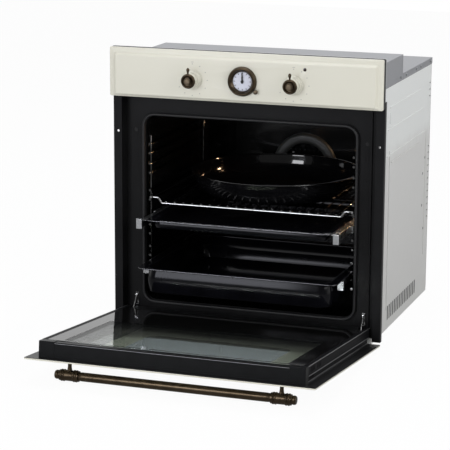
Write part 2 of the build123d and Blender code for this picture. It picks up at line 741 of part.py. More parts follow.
# Control knobs: a stepped skirt moulded on its spindle, and a ring cap with a pointer
for side, side_name in ((-1, "left"), (1, "right")):
    knob_x = side * knob_across
    knob_axis = Axis((knob_x, 0, knob_height), (0, 1, 0))
    knob_plane = Plane(origin=(knob_x, field_front - knob_gap, knob_height))
    skirt_depth = cap_front - knob_gap - field_rise - 6.0
    with BuildPart() as control_knob:
        with BuildSketch(knob_plane) as skirt:
            with BuildLine():
                Polyline(
                    (0, 0),
                    (skirt_radius, 0),
                    (skirt_radius, -4.0),
                    (skirt_radius - 3.0, -7.0),
                    (skirt_radius - 5.0, -7.5),
                    (skirt_radius - 5.5, -skirt_depth),
                    (0, -skirt_depth),
                    close=True,
                )
            make_face()
        revolve(skirt.sketch, axis=knob_axis)
        spindle_back = bracket_back + spindle_seat
        spindle_length = spindle_back - field_front + knob_gap
        rod_forward(knob_x, spindle_back, knob_height, spindle_radius, spindle_length)
    control_knob.part.label = f"{side_name}_knob"
    export_step(control_knob.part, f"parts/{side_name}_knob.step")
    cap_plane = Plane(origin=(knob_x, field_front - knob_gap - skirt_depth, knob_height))
    with BuildPart() as knob_cap:
        with BuildSketch(cap_plane) as cap_section:
            with BuildLine():
                Polyline(
                    (0, 0),
                    (cap_ring_radius - 1.5, 0),
                    (cap_ring_radius, -2.0),
                    (cap_ring_radius, -4.5),
                    (cap_ring_radius - 2.0, -6.5),
                    (cap_ring_radius - 4.5, -6.0),
                    (boss_radius + 0.5, -4.5),
                    (boss_radius, -9.0),
                    (boss_radius - 2.5, -11.0),
                    (0, -11.5),
                    close=True,
                )
            make_face()
        revolve(cap_section.sketch, axis=knob_axis)
        pointer_root = knob_height + cap_ring_radius - 3
        pointer_tip = knob_height + pointer_reach
        pointer_y = field_front - knob_gap - skirt_depth - 1.5
        with BuildSketch(upright(pointer_y)) as pointer:
            with BuildLine():
                Line((knob_x - 1.6, pointer_root), (knob_x + 1.6, pointer_root))
                Line((knob_x + 1.6, pointer_root), (knob_x + 3.0, pointer_tip - 3.0))
                ThreePointArc(
                    (knob_x + 3.0, pointer_tip - 3.0),
                    (knob_x, pointer_tip),
                    (knob_x - 3.0, pointer_tip - 3.0),
                )
                Line((knob_x - 3.0, pointer_tip - 3.0), (knob_x - 1.6, pointer_root))
            make_face()
        extrude(pointer.sketch, amount=4.0)
    knob_cap.part.label = f"{side_name}_knob_cap"
    export_step(knob_cap.part, f"parts/{side_name}_knob_cap.step")

# Side racks: separate wires, welded where they touch
post_wire = rack_across + 2 * wire_radius
for side, side_name in ((-1, "left"), (1, "right")):
    with BuildPart() as side_rack:
        for level in level_heights:
            for step in (-1, 1):
                z = level + step * level_half_gap
                rod_forward(side * rack_across, rack_back, z, wire_radius, rack_back - rack_front)
        for y in rack_posts:
            rod_up(side * post_wire, y, (rack_low, rack_high), wire_radius - 0.05)
            for z in (rack_low + 3, rack_high - 3):
                stud_x = span(side, post_wire + wire_radius - 0.4, cavity_half)
                rod_across(stud_x, y, z, wire_radius)
    side_rack.part.label = f"{side_name}_side_rack"
    export_step(side_rack.part, f"parts/{side_name}_side_rack.step")

# Fixed runners: channels clipped to the racks at the two tray levels
upper_slide_z = upper_rim_height - tray_sheet - runner_height
lower_slide_z = lower_rim_height - tray_sheet - runner_height
channel_in = slide_out + seat_gap
with BuildPart() as fixed_runners:
    for low_z, front_y in ((upper_slide_z, upper_fixed_front), (lower_slide_z, lower_fixed_front)):
        fixed_y = (front_y, fixed_back)
        for side in (-1, 1):
            channel_x = span(side, channel_in, runner_back_web)
            slab(channel_x, fixed_y, (low_z + 1, low_z + runner_height - 1))
            hollow_x = span(side, channel_in, runner_back_web - sheet)
            hollow_z = (low_z + 1 + sheet, low_z + runner_height - 1 - sheet)
            slab(hollow_x, fixed_y, hollow_z, Mode.SUBTRACT)
            web_x = span(side, runner_back_web - sheet, runner_back_web)
            for clip_y in (fixed_y[0] + 20, fixed_y[1] - 40):
                clip_low = low_z + 1 - 18 * (low_z == upper_slide_z)
                slab(web_x, (clip_y, clip_y + 14), (clip_low, low_z + 3))
fixed_runners.part.label = "fixed_runners"
export_step(fixed_runners.part, "parts/fixed_runners.step")


def add_slides(low_z, front_y, cap_z, ledge):
    """Adds a pair of pull-out slides with end caps, and ledges for a narrow tray."""
    for side in (-1, 1):
        slide_y = (front_y + end_cap_depth, front_y + end_cap_depth + runner_length)
        slab(span(side, slide_in, slide_out), slide_y, (low_z, low_z + runner_height))
        tongue_x = span(side, slide_out, runner_back_web - sheet - tongue_clearance)
        tongue_low = low_z + 1 + sheet + tongue_clearance
        tongue_high = low_z + runner_height - 1 - sheet - tongue_clearance
        tongue_y = (front_y + end_cap_depth + tongue_setback, slide_y[1])
        slab(tongue_x, tongue_y, (tongue_low, tongue_high))
        middle = (slide_in + slide_out) / 2 + 1.9
        cap_x = span(side, middle - end_cap_width / 2, middle + end_cap_width / 2)
        slab(cap_x, (front_y, front_y + end_cap_depth), cap_z)
        if ledge:
            ledge_x = span(side, slide_in - 11, slide_in)
            ledge_z = (low_z + runner_height - sheet, low_z + runner_height)
            slab(ledge_x, slide_y, ledge_z)


upper_cap_z = (upper_rim_height - 19, upper_rim_height - 19 + end_cap_height)
with BuildPart() as upper_runners:
    add_slides(upper_slide_z, upper_cap_front, upper_cap_z, True)
upper_runners.part.label = "upper_runners"
export_step(upper_runners.part, "parts/upper_runners.step")

lower_cap_z = (lower_rim_height - tray_sheet - end_cap_height, lower_rim_height - tray_sheet)
with BuildPart() as lower_runners:
    add_slides(lower_slide_z, lower_cap_front, lower_cap_z, False)
lower_runners.part.label = "lower_runners"
export_step(lower_runners.part, "parts/lower_runners.step")


def add_tray(half, rim_z, front_y, depth, flange, front_flange):
    """Adds a pressed tray: a flat rim and a tapered bowl below it."""
    middle_y = front_y + tray_length / 2
    bowl_wide = 2 * (half - flange)
    bowl_long = tray_length - 2 * front_flange
    with BuildSketch(Plane.XY.offset(rim_z - tray_sheet)) as rim:
        with Locations((0, middle_y)):
            RectangleRounded(2 * half, tray_length, tray_corner)
    extrude(rim.sketch, amount=tray_sheet)
    with BuildSketch(Plane.XY.offset(rim_z)) as outer:
        with Locations((0, middle_y)):
            RectangleRounded(bowl_wide, bowl_long, tray_corner)
    extrude(outer.sketch, amount=-depth, taper=tray_taper)
    with BuildSketch(Plane.XY.offset(rim_z)) as inner:
        with Locations((0, middle_y)):
            inset = 2 * tray_sheet
            RectangleRounded(bowl_wide - inset, bowl_long - inset, tray_corner - tray_sheet)
    extrude(inner.sketch, amount=-(depth - tray_sheet), taper=tray_taper, mode=Mode.SUBTRACT)


with BuildPart() as upper_tray:
    add_tray(upper_rim_half, upper_rim_height, upper_rim_front, upper_tray_depth, upper_flange, 12)
upper_tray.part.label = "upper_tray"
export_step(upper_tray.part, "parts/upper_tray.step")

with BuildPart() as lower_tray:
    add_tray(lower_rim_half, lower_rim_height, lower_rim_front, lower_tray_depth, lower_flange, 14)
lower_tray.part.label = "lower_tray"
export_step(lower_tray.part, "parts/lower_tray.step")

# Wire shelf: side rails, two dropped cross wires and a grid of rods
rail_height = grid_height + grid_drop
cross_ys = (shelf_front, shelf_back)
with BuildPart() as wire_shelf:
    for side in (-1, 1):
        rail_start = shelf_front - wire_radius - 1
        rail_end = shelf_back + wire_radius + 1
        rod_forward(side * shelf_rail_across, rail_end, rail_height, wire_radius, rail_end - rail_start)
    for y in cross_ys:
        shoulder = shelf_rail_across - wire_radius + 0.5
        with BuildLine() as path:
            FilletPolyline(
                (-shoulder, y, rail_height),
                (-grid_half - 6, y, rail_height),
                (-grid_half + 2, y, grid_height),
                (grid_half - 2, y, grid_height),
                (grid_half + 6, y, rail_height),
                (shoulder, y, rail_height),
                radius=5.5,
            )
        with BuildSketch(Plane(origin=(-shoulder, y, rail_height), z_dir=(1, 0, 0))) as section:
            Circle(wire_radius)
        sweep(section.sketch, path=path.wire())
    for step in range(rod_count):
        x = (step - (rod_count - 1) / 2) * rod_pitch
        rod_z = grid_height + wire_radius + rod_radius - 0.2
        rod_length = shelf_back - shelf_front + 2 * wire_radius
        rod_forward(x, shelf_back + wire_radius, rod_z, rod_radius, rod_length)
wire_shelf.part.label = "wire_shelf"
export_step(wire_shelf.part, "parts/wire_shelf.step")

# Round pan on the shelf
with BuildPart() as round_pan:
    pan_plane = Plane(origin=(0, pan_centre, pan_base_height), x_dir=(1, 0, 0), z_dir=(0, -1, 0))
    with BuildSketch(pan_plane) as pan_section:
        with BuildLine():
            Polyline(
                (0, 0),
                (pan_base_radius, 0),
                (pan_radius - pan_lip, pan_height - pan_wall),
                (pan_radius, pan_height - pan_wall),
                (pan_radius, pan_height),
                (pan_radius - pan_lip - pan_wall, pan_height),
                (pan_base_radius - pan_wall, pan_wall),
                (0, pan_wall),
                close=True,
            )
        make_face()
    revolve(pan_section.sketch, axis=Axis((0, pan_centre, 0), (0, 0, 1)))
round_pan.part.label = "round_pan"
export_step(round_pan.part, "parts/round_pan.step")

# Fan cover: a box on the back wall with a raised intake ring and bars
cover_front = liner_back - fan_cover_depth
cover_low = fan_height - fan_cover_reach
cover_high = fan_height + fan_cover_reach
with BuildPart() as fan_cover:
    cover_x = (-fan_cover_half, fan_cover_half)
    plate_forward(cover_x, (cover_low, cover_high), liner_back, 14, fan_cover_depth)
    ring_front = fan_cover_depth + fan_ring_rise
    rod_forward(0, liner_back, fan_height, fan_ring_radius, ring_front)
    inner_x = (-fan_cover_half + sheet, fan_cover_half - sheet)
    inner_z = (cover_low + sheet, cover_high - sheet)
    plate_forward(inner_x, inner_z, liner_back, 12, fan_cover_depth - sheet, Mode.SUBTRACT)
    rod_forward(0, liner_back, fan_height, fan_ring_radius - sheet, ring_front - sheet, Mode.SUBTRACT)
    intake = fan_ring_radius - fan_ring_band
    rod_forward(0, liner_back, fan_height, intake, ring_front, Mode.SUBTRACT)
    bar_y = (cover_front - fan_ring_rise, cover_front - fan_ring_rise + sheet)
    bar_count = 9
    for bar in range(bar_count):
        bar_x = (bar - (bar_count - 1) / 2) * 12.0
        reach = math.sqrt((intake + 1) ** 2 - bar_x**2)
        slab((bar_x - 1.5, bar_x + 1.5), bar_y, (fan_height - reach, fan_height + reach))
    for side in (-1, 1):
        for step in range(5):
            slot_z = fan_height - 60 + 30 * step
            slot_x = span(side, fan_cover_half - sheet, fan_cover_half)
            slab(slot_x, (cover_front + 6, cover_front + 18), (slot_z - 8, slot_z + 8), Mode.SUBTRACT)
fan_cover.part.label = "fan_cover"
export_step(fan_cover.part, "parts/fan_cover.step")

# Fan wheel: a disc with blades, on its shaft
shaft_seat = 14.0
with BuildPart() as fan_wheel:
    disc_y = liner_back - 4
    rod_forward(0, disc_y, fan_height, fan_wheel_radius, 1.2)
    hub_front = fan_wheel_depth
    rod_forward(0, disc_y, fan_height, 9, hub_front)
    for blade in range(12):
        with BuildSketch(upright(disc_y)) as fin:
            with Locations(Location((0, fan_height), 30.0 * blade)):
                with Locations((fan_wheel_radius - 14, 0)):
                    Rectangle(22, 1.2, rotation=25)
        extrude(fin.sketch, amount=fan_wheel_depth)
    shaft_back = insulation_rear + sheet + shaft_seat
    rod_forward(0, shaft_back, fan_height, fan_shaft_radius, shaft_back - disc_y)
fan_wheel.part.label = "fan_wheel"
export_step(fan_wheel.part, "parts/fan_wheel.step")

# Fan motor on the back of the insulation
with BuildPart() as fan_motor:
    mount_x = (-55, 55)
    slab(mount_x, (insulation_rear, insulation_rear + sheet), (fan_height - 55, fan_height + 55))
    motor_back = insulation_rear + fan_motor_depth
    rod_forward(0, motor_back, fan_height, fan_motor_radius, fan_motor_depth)
    bore = fan_shaft_radius + running_gap
    bore_back = insulation_rear + sheet + shaft_seat + 2
    rod_forward(0, bore_back, fan_height, bore, shaft_seat + sheet + 2, Mode.SUBTRACT)
fan_motor.part.label = "fan_motor"
export_step(fan_motor.part, "parts/fan_motor.step")

# Ring heater round the fan wheel, with its legs through the back wall
leg_end = insulation_rear - 2
with BuildPart() as ring_heater:
    with BuildSketch(Plane(origin=(0, liner_back - 8, fan_height))) as ring_section:
        with Locations((ring_heater_radius, 0)):
            Circle(heater_radius)
    revolve(ring_section.sketch, axis=Axis((0, 0, fan_height), (0, 1, 0)))
    for leg_x in (-10, 10):
        leg_z = fan_height + ring_heater_radius
        rod_forward(leg_x, leg_end, leg_z, heater_radius, leg_end - liner_back + 7)
ring_heater.part.label = "ring_heater"
export_step(ring_heater.part, "parts/ring_heater.step")

# Grill heater: a folded rod under the roof, with its legs through the back wall
grill_reach = 170.0
grill_front = -170.0
with BuildPart() as grill_heater:
    with BuildLine() as grill_path:
        FilletPolyline(
            (-30, leg_end, grill_height),
            (-30, 120, grill_height),
            (-grill_reach, 120, grill_height),
            (-grill_reach, grill_front, grill_height),
            (-90, grill_front, grill_height),
            (-90, 70, grill_height),
            (90, 70, grill_height),
            (90, grill_front, grill_height),
            (grill_reach, grill_front, grill_height),
            (grill_reach, 120, grill_height),
            (30, 120, grill_height),
            (30, leg_end, grill_height),
            radius=14,
        )
    with BuildSketch(Plane(origin=(-30, leg_end, grill_height), z_dir=(0, -1, 0))) as grill_section:
        Circle(heater_radius)
    sweep(grill_section.sketch, path=grill_path.wire())
grill_heater.part.label = "grill_heater"
export_step(grill_heater.part, "parts/grill_heater.step")

# Bottom heater: a ring of rod under the cavity floor
bottom_z = cavity_low - sheet - heater_radius
with BuildPart() as bottom_heater:
    with BuildSketch(Plane.XZ) as bottom_section:
        with Locations((110, bottom_z)):
            Circle(heater_radius)
    revolve(bottom_section.sketch, axis=Axis.Z)
bottom_heater.part.label = "bottom_heater"
export_step(bottom_heater.part, "parts/bottom_heater.step")

# Oven lamp: a holder in the insulation and a glass dome in the back wall
with BuildPart() as lamp_holder:
    rod_forward(lamp_across, insulation_rear, lamp_height, lamp_radius, insulation_back + sheet)
    rod_forward(lamp_across, insulation_rear, lamp_height, 14, 30)
    rod_forward(lamp_across, liner_back + 12, lamp_height, lamp_radius - 2, 40, Mode.SUBTRACT)
    rod_forward(lamp_across, liner_back + 12, lamp_height, 12, 10)
lamp_holder.part.label = "lamp_holder"
export_step(lamp_holder.part, "parts/lamp_holder.step")

with BuildPart() as lamp_glass:
    rod_forward(lamp_across, liner_back, lamp_height, lamp_radius, 9)
    fillet(lamp_glass.edges().group_by(Axis.Y)[0], 6)
    rod_forward(lamp_across, liner_back, lamp_height, lamp_radius - 3, 6, Mode.SUBTRACT)
lamp_glass.part.label = "lamp_glass"
export_step(lamp_glass.part, "parts/lamp_glass.step")

# Temperature probe clipped under the roof
with BuildPart() as temperature_probe:
    rod_forward(-120, liner_back, cavity_high - 3, 3, 90)
temperature_probe.part.label = "temperature_probe"
export_step(temperature_probe.part, "parts/temperature_probe.step")

# Cooling duct: a blower box with a flat duct to the slot above the door
box_y = (blower_depth_place - blower_box_depth / 2, blower_depth_place + blower_box_depth / 2)
box_z = (insulation_high, insulation_high + 50)
axis_z = insulation_high + 26
bearing_bore = fan_shaft_radius + running_gap
duct_x = (-blower_half, blower_half)
with BuildPart() as cooling_duct:
    slab(duct_x, box_y, box_z)
    slab(duct_x, (casing_front, box_y[0]), (duct_low, duct_high))
    inner_duct_x = (-blower_half + panel_sheet, blower_half - panel_sheet)
    inner_box_y = (box_y[0] + panel_sheet, box_y[1] - panel_sheet)
    slab(inner_duct_x, inner_box_y, (box_z[0] + panel_sheet, box_z[1] - panel_sheet), Mode.SUBTRACT)
    duct_inner_z = (duct_low + panel_sheet, duct_high - panel_sheet)
    slab(inner_duct_x, (casing_front, inner_box_y[0]), duct_inner_z, Mode.SUBTRACT)
    inlet_z = (axis_z - 14, axis_z + 14)
    slab((-80, 80), (inner_box_y[1], box_y[1]), inlet_z, Mode.SUBTRACT)
    rod_across(duct_x, blower_depth_place, axis_z, bearing_bore, Mode.SUBTRACT)
cooling_duct.part.label = "cooling_duct"
export_step(cooling_duct.part, "parts/cooling_duct.step")

blower_inner = blower_half - panel_sheet - 3
with BuildPart() as blower_wheel:
    for disc_x in (-blower_inner, 0, blower_inner - 1.5):
        rod_across((disc_x, disc_x + 1.5), blower_depth_place, axis_z, blower_radius)
    shaft_x = (-blower_half, blower_half + 12)
    rod_across(shaft_x, blower_depth_place, axis_z, fan_shaft_radius)
    with BuildSketch(Plane.YZ.offset(-blower_inner)) as vanes:
        with Locations((blower_depth_place, axis_z)):
            with PolarLocations(blower_radius - 3.5, 16):
                Rectangle(5, 1)
    extrude(vanes.sketch, amount=2 * blower_inner)
blower_wheel.part.label = "blower_wheel"
export_step(blower_wheel.part, "parts/blower_wheel.step")

with BuildPart() as blower_motor:
    rod_across((blower_half, blower_half + 40), blower_depth_place, axis_z, 18)
    motor_bore_x = (blower_half, blower_half + 14)
    rod_across(motor_bore_x, blower_depth_place, axis_z, bearing_bore, Mode.SUBTRACT)
blower_motor.part.label = "blower_motor"
export_step(blower_motor.part, "parts/blower_motor.step")

# Door, built in its own frame and standing open. In it, x is mirrored, y is a and z is t.
with BuildPart() as door_outer_panel:
    with BuildSketch(door_frame) as panel_face:
        with Locations((0, door_length / 2)):
            RectangleRounded(2 * door_half, door_length, 3)
        with Locations((0, (window_low + window_high) / 2)):
            window_size = (2 * window_half, window_high - window_low)
            RectangleRounded(*window_size, window_radius, mode=Mode.SUBTRACT)
    extrude(panel_face.sketch, amount=panel_thick)
door_outer_panel.part.label = "door_outer_panel"
export_step(door_outer_panel.part, "parts/door_outer_panel.step")

with BuildPart(door_frame) as door_outer_glass:
    lap_x = (-window_half - outer_glass_lap, window_half + outer_glass_lap)
    lap_a = (window_low - outer_glass_lap, window_high + outer_glass_lap)
    slab(lap_x, lap_a, (panel_thick, panel_thick + glass_thick))
door_outer_glass.part.label = "door_outer_glass"
export_step(door_outer_glass.part, "parts/door_outer_glass.step")

with BuildPart(door_frame) as door_middle_glass:
    middle_t = (middle_glass_t, middle_glass_t + middle_glass_thick)
    slab((-rail_in, rail_in), (middle_glass_low, top_profile_low), middle_t)
door_middle_glass.part.label = "door_middle_glass"
export_step(door_middle_glass.part, "parts/door_middle_glass.step")

with BuildPart(door_frame) as door_inner_glass:
    inner_t = (door_inner_face - glass_thick, door_inner_face)
    slab((-rail_in, rail_in), (bottom_rail_height, top_profile_low), inner_t)
door_inner_glass.part.label = "door_inner_glass"
export_step(door_inner_glass.part, "parts/door_inner_glass.step")

with BuildPart(door_frame) as door_top_profile:
    top_a = (top_profile_low, top_profile_high)
    slab((-cap_in, cap_in), top_a, (panel_thick, door_inner_face - 1))
    core_a = (top_profile_low, top_profile_high - 2)
    slab((-cap_in, cap_in), core_a, (panel_thick + 2, middle_glass_t - 2), Mode.SUBTRACT)
    for side in (-1, 1):
        cap_t = (panel_thick, door_inner_face)
        slab(span(side, cap_in, rail_out), (top_profile_low, top_profile_high + 0.6), cap_t)
door_top_profile.part.label = "door_top_profile"
export_step(door_top_profile.part, "parts/door_top_profile.step")

with BuildPart(door_frame) as door_side_profiles:
    for side in (-1, 1):
        rail_a = (0, top_profile_low)
        web = 1.5
        upper_web = span(side, rail_out - web, rail_out)
        lower_web_x = span(side, lower_web - web, lower_web)
        slab(upper_web, rail_a, (shelf_t - web, door_inner_face))
        slab(lower_web_x, rail_a, (panel_thick, shelf_t))
        slab(span(side, rail_in, rail_out), rail_a, (door_inner_face - web, door_inner_face))
        slab(span(side, rail_in - 2, rail_out), rail_a, (shelf_t - web, shelf_t))
        slab(span(side, rail_in - 2, rail_in - 0.5), rail_a, (shelf_t, middle_glass_t))
        slab(span(side, rail_in, lower_web), rail_a, (panel_thick, panel_thick + web))
        for vent in range(vent_count):
            vent_a = top_profile_low - 24 - vent_pitch * vent
            vent_y = (vent_a - vent_width / 2, vent_a + vent_width / 2)
            slab(lower_web_x, vent_y, (panel_thick + 4, shelf_t - 3), Mode.SUBTRACT)
            for group in (0, 1):
                upper_a = vent_a + 8 - group * (vent_count + 2) * vent_pitch
                upper_y = (upper_a - vent_width / 2, upper_a + vent_width / 2)
                slab(upper_web, upper_y, (shelf_t + 4, door_inner_face - 4), Mode.SUBTRACT)
door_side_profiles.part.label = "door_side_profiles"
export_step(door_side_profiles.part, "parts/door_side_profiles.step")

# Bottom profile with a pocket at each side for the hinge
cheek_half = arm_thick / 2 + cheek_gap + cheek_thick
with BuildPart(door_frame) as door_bottom_profile:
    bottom_a = (0, bottom_rail_height)
    slab((-rail_in + 2, rail_in - 2), bottom_a, (panel_thick, door_inner_face))
    for side in (-1, 1):
        pocket_x = span(side, hinge_across - cheek_half, rail_in)
        slab(pocket_x, bottom_a, (panel_thick + 2, door_inner_face), Mode.SUBTRACT)
    core_x = (-hinge_across + cheek_half + 6, hinge_across - cheek_half - 6)
    core_t = (panel_thick + 2, door_inner_face - 2)
    slab(core_x, (2, bottom_rail_height), core_t, Mode.SUBTRACT)
door_bottom_profile.part.label = "door_bottom_profile"
export_step(door_bottom_profile.part, "parts/door_bottom_profile.step")

# Door hinges: cheek plates that hold the pivot pin either side of each arm
with BuildPart(door_frame) as door_hinges:
    for side in (-1, 1):
        for step in (-1, 1):
            near = hinge_across + step * (arm_thick / 2 + cheek_gap)
            far = hinge_across + step * cheek_half
            slab(span(side, near, far), (1, cheek_length), (cheek_low_t, cheek_high_t))
        brace_x = span(side, hinge_across - cheek_half, hinge_across + cheek_half)
        slab(brace_x, (cheek_length - 12, cheek_length), (cheek_low_t, cheek_high_t))
        with BuildSketch(Plane.YZ.offset(side * hinge_across - cheek_half)) as pin:
            with Locations((hinge_y, hinge_z)):
                Circle(pin_radius)
        extrude(pin.sketch, amount=2 * cheek_half)
door_hinges.part.label = "door_hinges"
export_step(door_hinges.part, "parts/door_hinges.step")

# Handle: a bar between two collars, each on a post, with end caps
bar_plane = Plane(
    origin=door_corner + up_door * handle_a - through_door * handle_drop,
    x_dir=(0, 1, 0),
    z_dir=(1, 0, 0),
)
collar_in = post_across - collar_length / 2
collar_out = post_across + collar_length / 2
with BuildPart() as door_handle_bar:
    with BuildSketch(bar_plane.offset(-collar_in)) as bar_end:
        Circle(bar_radius)
    extrude(bar_end.sketch, amount=2 * collar_in)
door_handle_bar.part.label = "door_handle_bar"
export_step(door_handle_bar.part, "parts/door_handle_bar.step")

post_plane = Plane(origin=door_corner + up_door * handle_a, x_dir=(-1, 0, 0), z_dir=-through_door)
with BuildPart() as door_handle_mounts:
    for side in (-1, 1):
        collar_x = span(side, collar_in, collar_out)
        with BuildSketch(bar_plane.offset(collar_x[0])) as collar:
            Circle(collar_radius - 1.2)
        extrude(collar.sketch, amount=collar_length)
        for ring in (0.12, 0.24, 0.76, 0.88):
            ring_x = collar_x[0] + ring * collar_length - 1.6
            with BuildSketch(bar_plane.offset(ring_x)) as ring_end:
                Circle(collar_radius)
            extrude(ring_end.sketch, amount=3.2)
        cap_x = span(side, collar_out, collar_out + end_cap_length)
        with BuildSketch(bar_plane.offset(cap_x[0])) as cap_end:
            Circle(end_cap_radius)
        extrude(cap_end.sketch, amount=end_cap_length)
        with BuildSketch(post_plane) as post:
            with Locations((side * post_across, 0)):
                Circle(post_radius)
        extrude(post.sketch, amount=handle_drop)
door_handle_mounts.part.label = "door_handle_mounts"
export_step(door_handle_mounts.part, "parts/door_handle_mounts.step")
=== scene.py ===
import json
import math

import bmesh
import bpy
from mathutils import Matrix, Vector


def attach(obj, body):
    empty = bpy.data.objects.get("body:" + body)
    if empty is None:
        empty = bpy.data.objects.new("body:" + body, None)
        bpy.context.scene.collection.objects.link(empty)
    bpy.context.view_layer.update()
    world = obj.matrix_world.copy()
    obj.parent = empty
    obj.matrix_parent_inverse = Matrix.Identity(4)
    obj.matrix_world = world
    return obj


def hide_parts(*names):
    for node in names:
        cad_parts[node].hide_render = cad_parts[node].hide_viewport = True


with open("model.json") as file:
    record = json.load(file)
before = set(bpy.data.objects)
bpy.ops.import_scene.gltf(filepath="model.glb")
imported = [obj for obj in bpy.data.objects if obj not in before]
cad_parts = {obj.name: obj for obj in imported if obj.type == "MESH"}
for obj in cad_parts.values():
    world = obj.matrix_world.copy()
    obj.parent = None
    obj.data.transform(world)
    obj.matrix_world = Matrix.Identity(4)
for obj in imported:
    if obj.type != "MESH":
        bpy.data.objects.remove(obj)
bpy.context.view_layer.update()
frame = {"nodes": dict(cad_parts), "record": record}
nodes = frame["nodes"]
scene = bpy.context.scene
MM = 0.001


# Materials

def add_node(tree, kind, values=None, **settings):
    """A new node in a tree, with its settings and the values of its inputs."""
    made = tree.nodes.new(kind)
    for key, value in settings.items():
        setattr(made, key, value)
    for key, value in (values or {}).items():
        made.inputs[key].default_value = value
    return made


def mix_shaders(tree, share, first, second):
    """Blends two shaders by a share and gives the blend's output."""
    mixed = add_node(tree, "ShaderNodeMixShader")
    tree.links.new(share, mixed.inputs["Fac"])
    tree.links.new(first, mixed.inputs[1])
    tree.links.new(second, mixed.inputs[2])
    return mixed.outputs[0]


class Finish:
    """A node material that starts from one shader and adds its own texture."""

    def __init__(self, name, colour, roughness, metallic=0.0, values=None):
        self.material = bpy.data.materials.new(name)
        self.material.use_nodes = True
        self.tree = self.material.node_tree
        self.shader = self.tree.nodes["Principled BSDF"]
        self.shader.inputs["Base Color"].default_value = (*colour, 1.0)
        self.shader.inputs["Roughness"].default_value = roughness
        self.shader.inputs["Metallic"].default_value = metallic
        for key, value in (values or {}).items():
            self.shader.inputs[key].default_value = value
        self.place = self.node("ShaderNodeTexCoord")

    def node(self, kind, values=None, **settings):
        return add_node(self.tree, kind, values, **settings)

    def link(self, output, socket):
        self.tree.links.new(output, socket)

    def surface(self, output):
        self.link(output, self.tree.nodes["Material Output"].inputs["Surface"])

    def noise(self, scale):
        pattern = self.node("ShaderNodeTexNoise", {"Scale": scale, "Detail": 4.0})
        self.link(self.place.outputs["Object"], pattern.inputs["Vector"])
        return pattern.outputs["Fac"]

    def colour(self, value, stops):
        """Colours the shader by a value, from stops of a place and a colour each."""
        shade = self.node("ShaderNodeValToRGB")
        line = shade.color_ramp
        while len(line.elements) < len(stops):
            line.elements.new(0.5)
        for element, (place, colour) in zip(line.elements, stops):
            element.position = place
            element.color = (*colour, 1.0)
        self.link(value, shade.inputs["Fac"])
        self.link(shade.outputs["Color"], self.shader.inputs["Base Color"])

    def scaled(self, value, low, high):
        """A value between 0 and 1, spread between low and high."""
        spread = self.node("ShaderNodeMapRange", {"To Min": low, "To Max": high})
        self.link(value, spread.inputs["Value"])
        return spread.outputs["Result"]

    def roughness(self, value, low, high):
        self.link(self.scaled(value, low, high), self.shader.inputs["Roughness"])

    def bump(self, value, depth):
        relief = self.node("ShaderNodeBump", {"Distance": depth, "Strength": 0.4})
        self.link(value, relief.inputs["Height"])
        self.link(relief.outputs["Normal"], self.shader.inputs["Normal"])


def tint(colour, factor):
    return tuple(min(1.0, part * factor) for part in colour)


def plain_finish(name, colour, roughness, metallic, grain, spread, depth, values=None):
    """One colour with a fine grain in its shade, its roughness and its relief."""
    made = Finish(name, colour, roughness, metallic, values)
    grey = made.noise(grain)
    made.colour(grey, ((0.3, tint(colour, 1 - spread)), (0.7, tint(colour, 1 + spread))))
    made.roughness(grey, roughness * 0.85, min(1.0, roughness * 1.15))
    made.bump(made.noise(grain * 3), depth)
    return made.material


SMEAR_SCALE, GLASS_ROUGHNESS = 14.0, 0.02
STRAIGHT_MIRROR, GLANCING_POWER = 0.04, 5.0


def sheer_glass(name, stain, haze, haze_colour, mirror):
    """Thin glass: mostly see-through, with some haze, and a mirror that grows towards a glancing view."""
    made = Finish(name, haze_colour, 0.6)
    clear = made.node("ShaderNodeBsdfTransparent", {"Color": (*stain, 1.0)})
    smear = made.scaled(made.noise(SMEAR_SCALE), haze * 0.8, haze * 1.2)
    veil = mix_shaders(made.tree, smear, clear.outputs[0], made.shader.outputs[0])
    gloss = made.node("ShaderNodeBsdfGlossy", {"Roughness": GLASS_ROUGHNESS})
    angle = made.node("ShaderNodeLayerWeight", {"Blend": 0.5})
    steep = made.node("ShaderNodeMath", {1: GLANCING_POWER}, operation="POWER")
    made.link(angle.outputs["Facing"], steep.inputs[0])
    spread = {1: (1 - STRAIGHT_MIRROR) * mirror, 2: STRAIGHT_MIRROR * mirror}
    share = made.node("ShaderNodeMath", spread, operation="MULTIPLY_ADD")
    made.link(steep.outputs[0], share.inputs[0])
    made.surface(mix_shaders(made.tree, share.outputs[0], veil, gloss.outputs[0]))
    return made.material


def painted_shading_steel():
    """Zinc-coated steel with a soft spangle, lighter above the casing's lower third: painted light and shade
    of the pressed side panel.
    """
    made = Finish("side_steel_painted_shading", (0.56, 0.57, 0.55), 0.4, 0.3)
    place = made.node("ShaderNodeSeparateXYZ")
    made.link(made.place.outputs["Object"], place.inputs["Vector"])
    spangle = made.node("ShaderNodeMath", {1: 0.03}, operation="MULTIPLY_ADD")
    made.link(made.noise(45.0), spangle.inputs[0])
    made.link(place.outputs["Z"], spangle.inputs[2])
    # Painted light and shade: the colour steps from a darker lower part to a lighter upper part with height.
    made.colour(spangle.outputs[0], ((0.1, (0.67, 0.665, 0.645)), (0.38, (0.71, 0.705, 0.685)),
                                     (0.42, (0.83, 0.845, 0.825)), (0.57, (0.86, 0.875, 0.855))))
    made.roughness(made.noise(60.0), 0.34, 0.46)
    return made.material


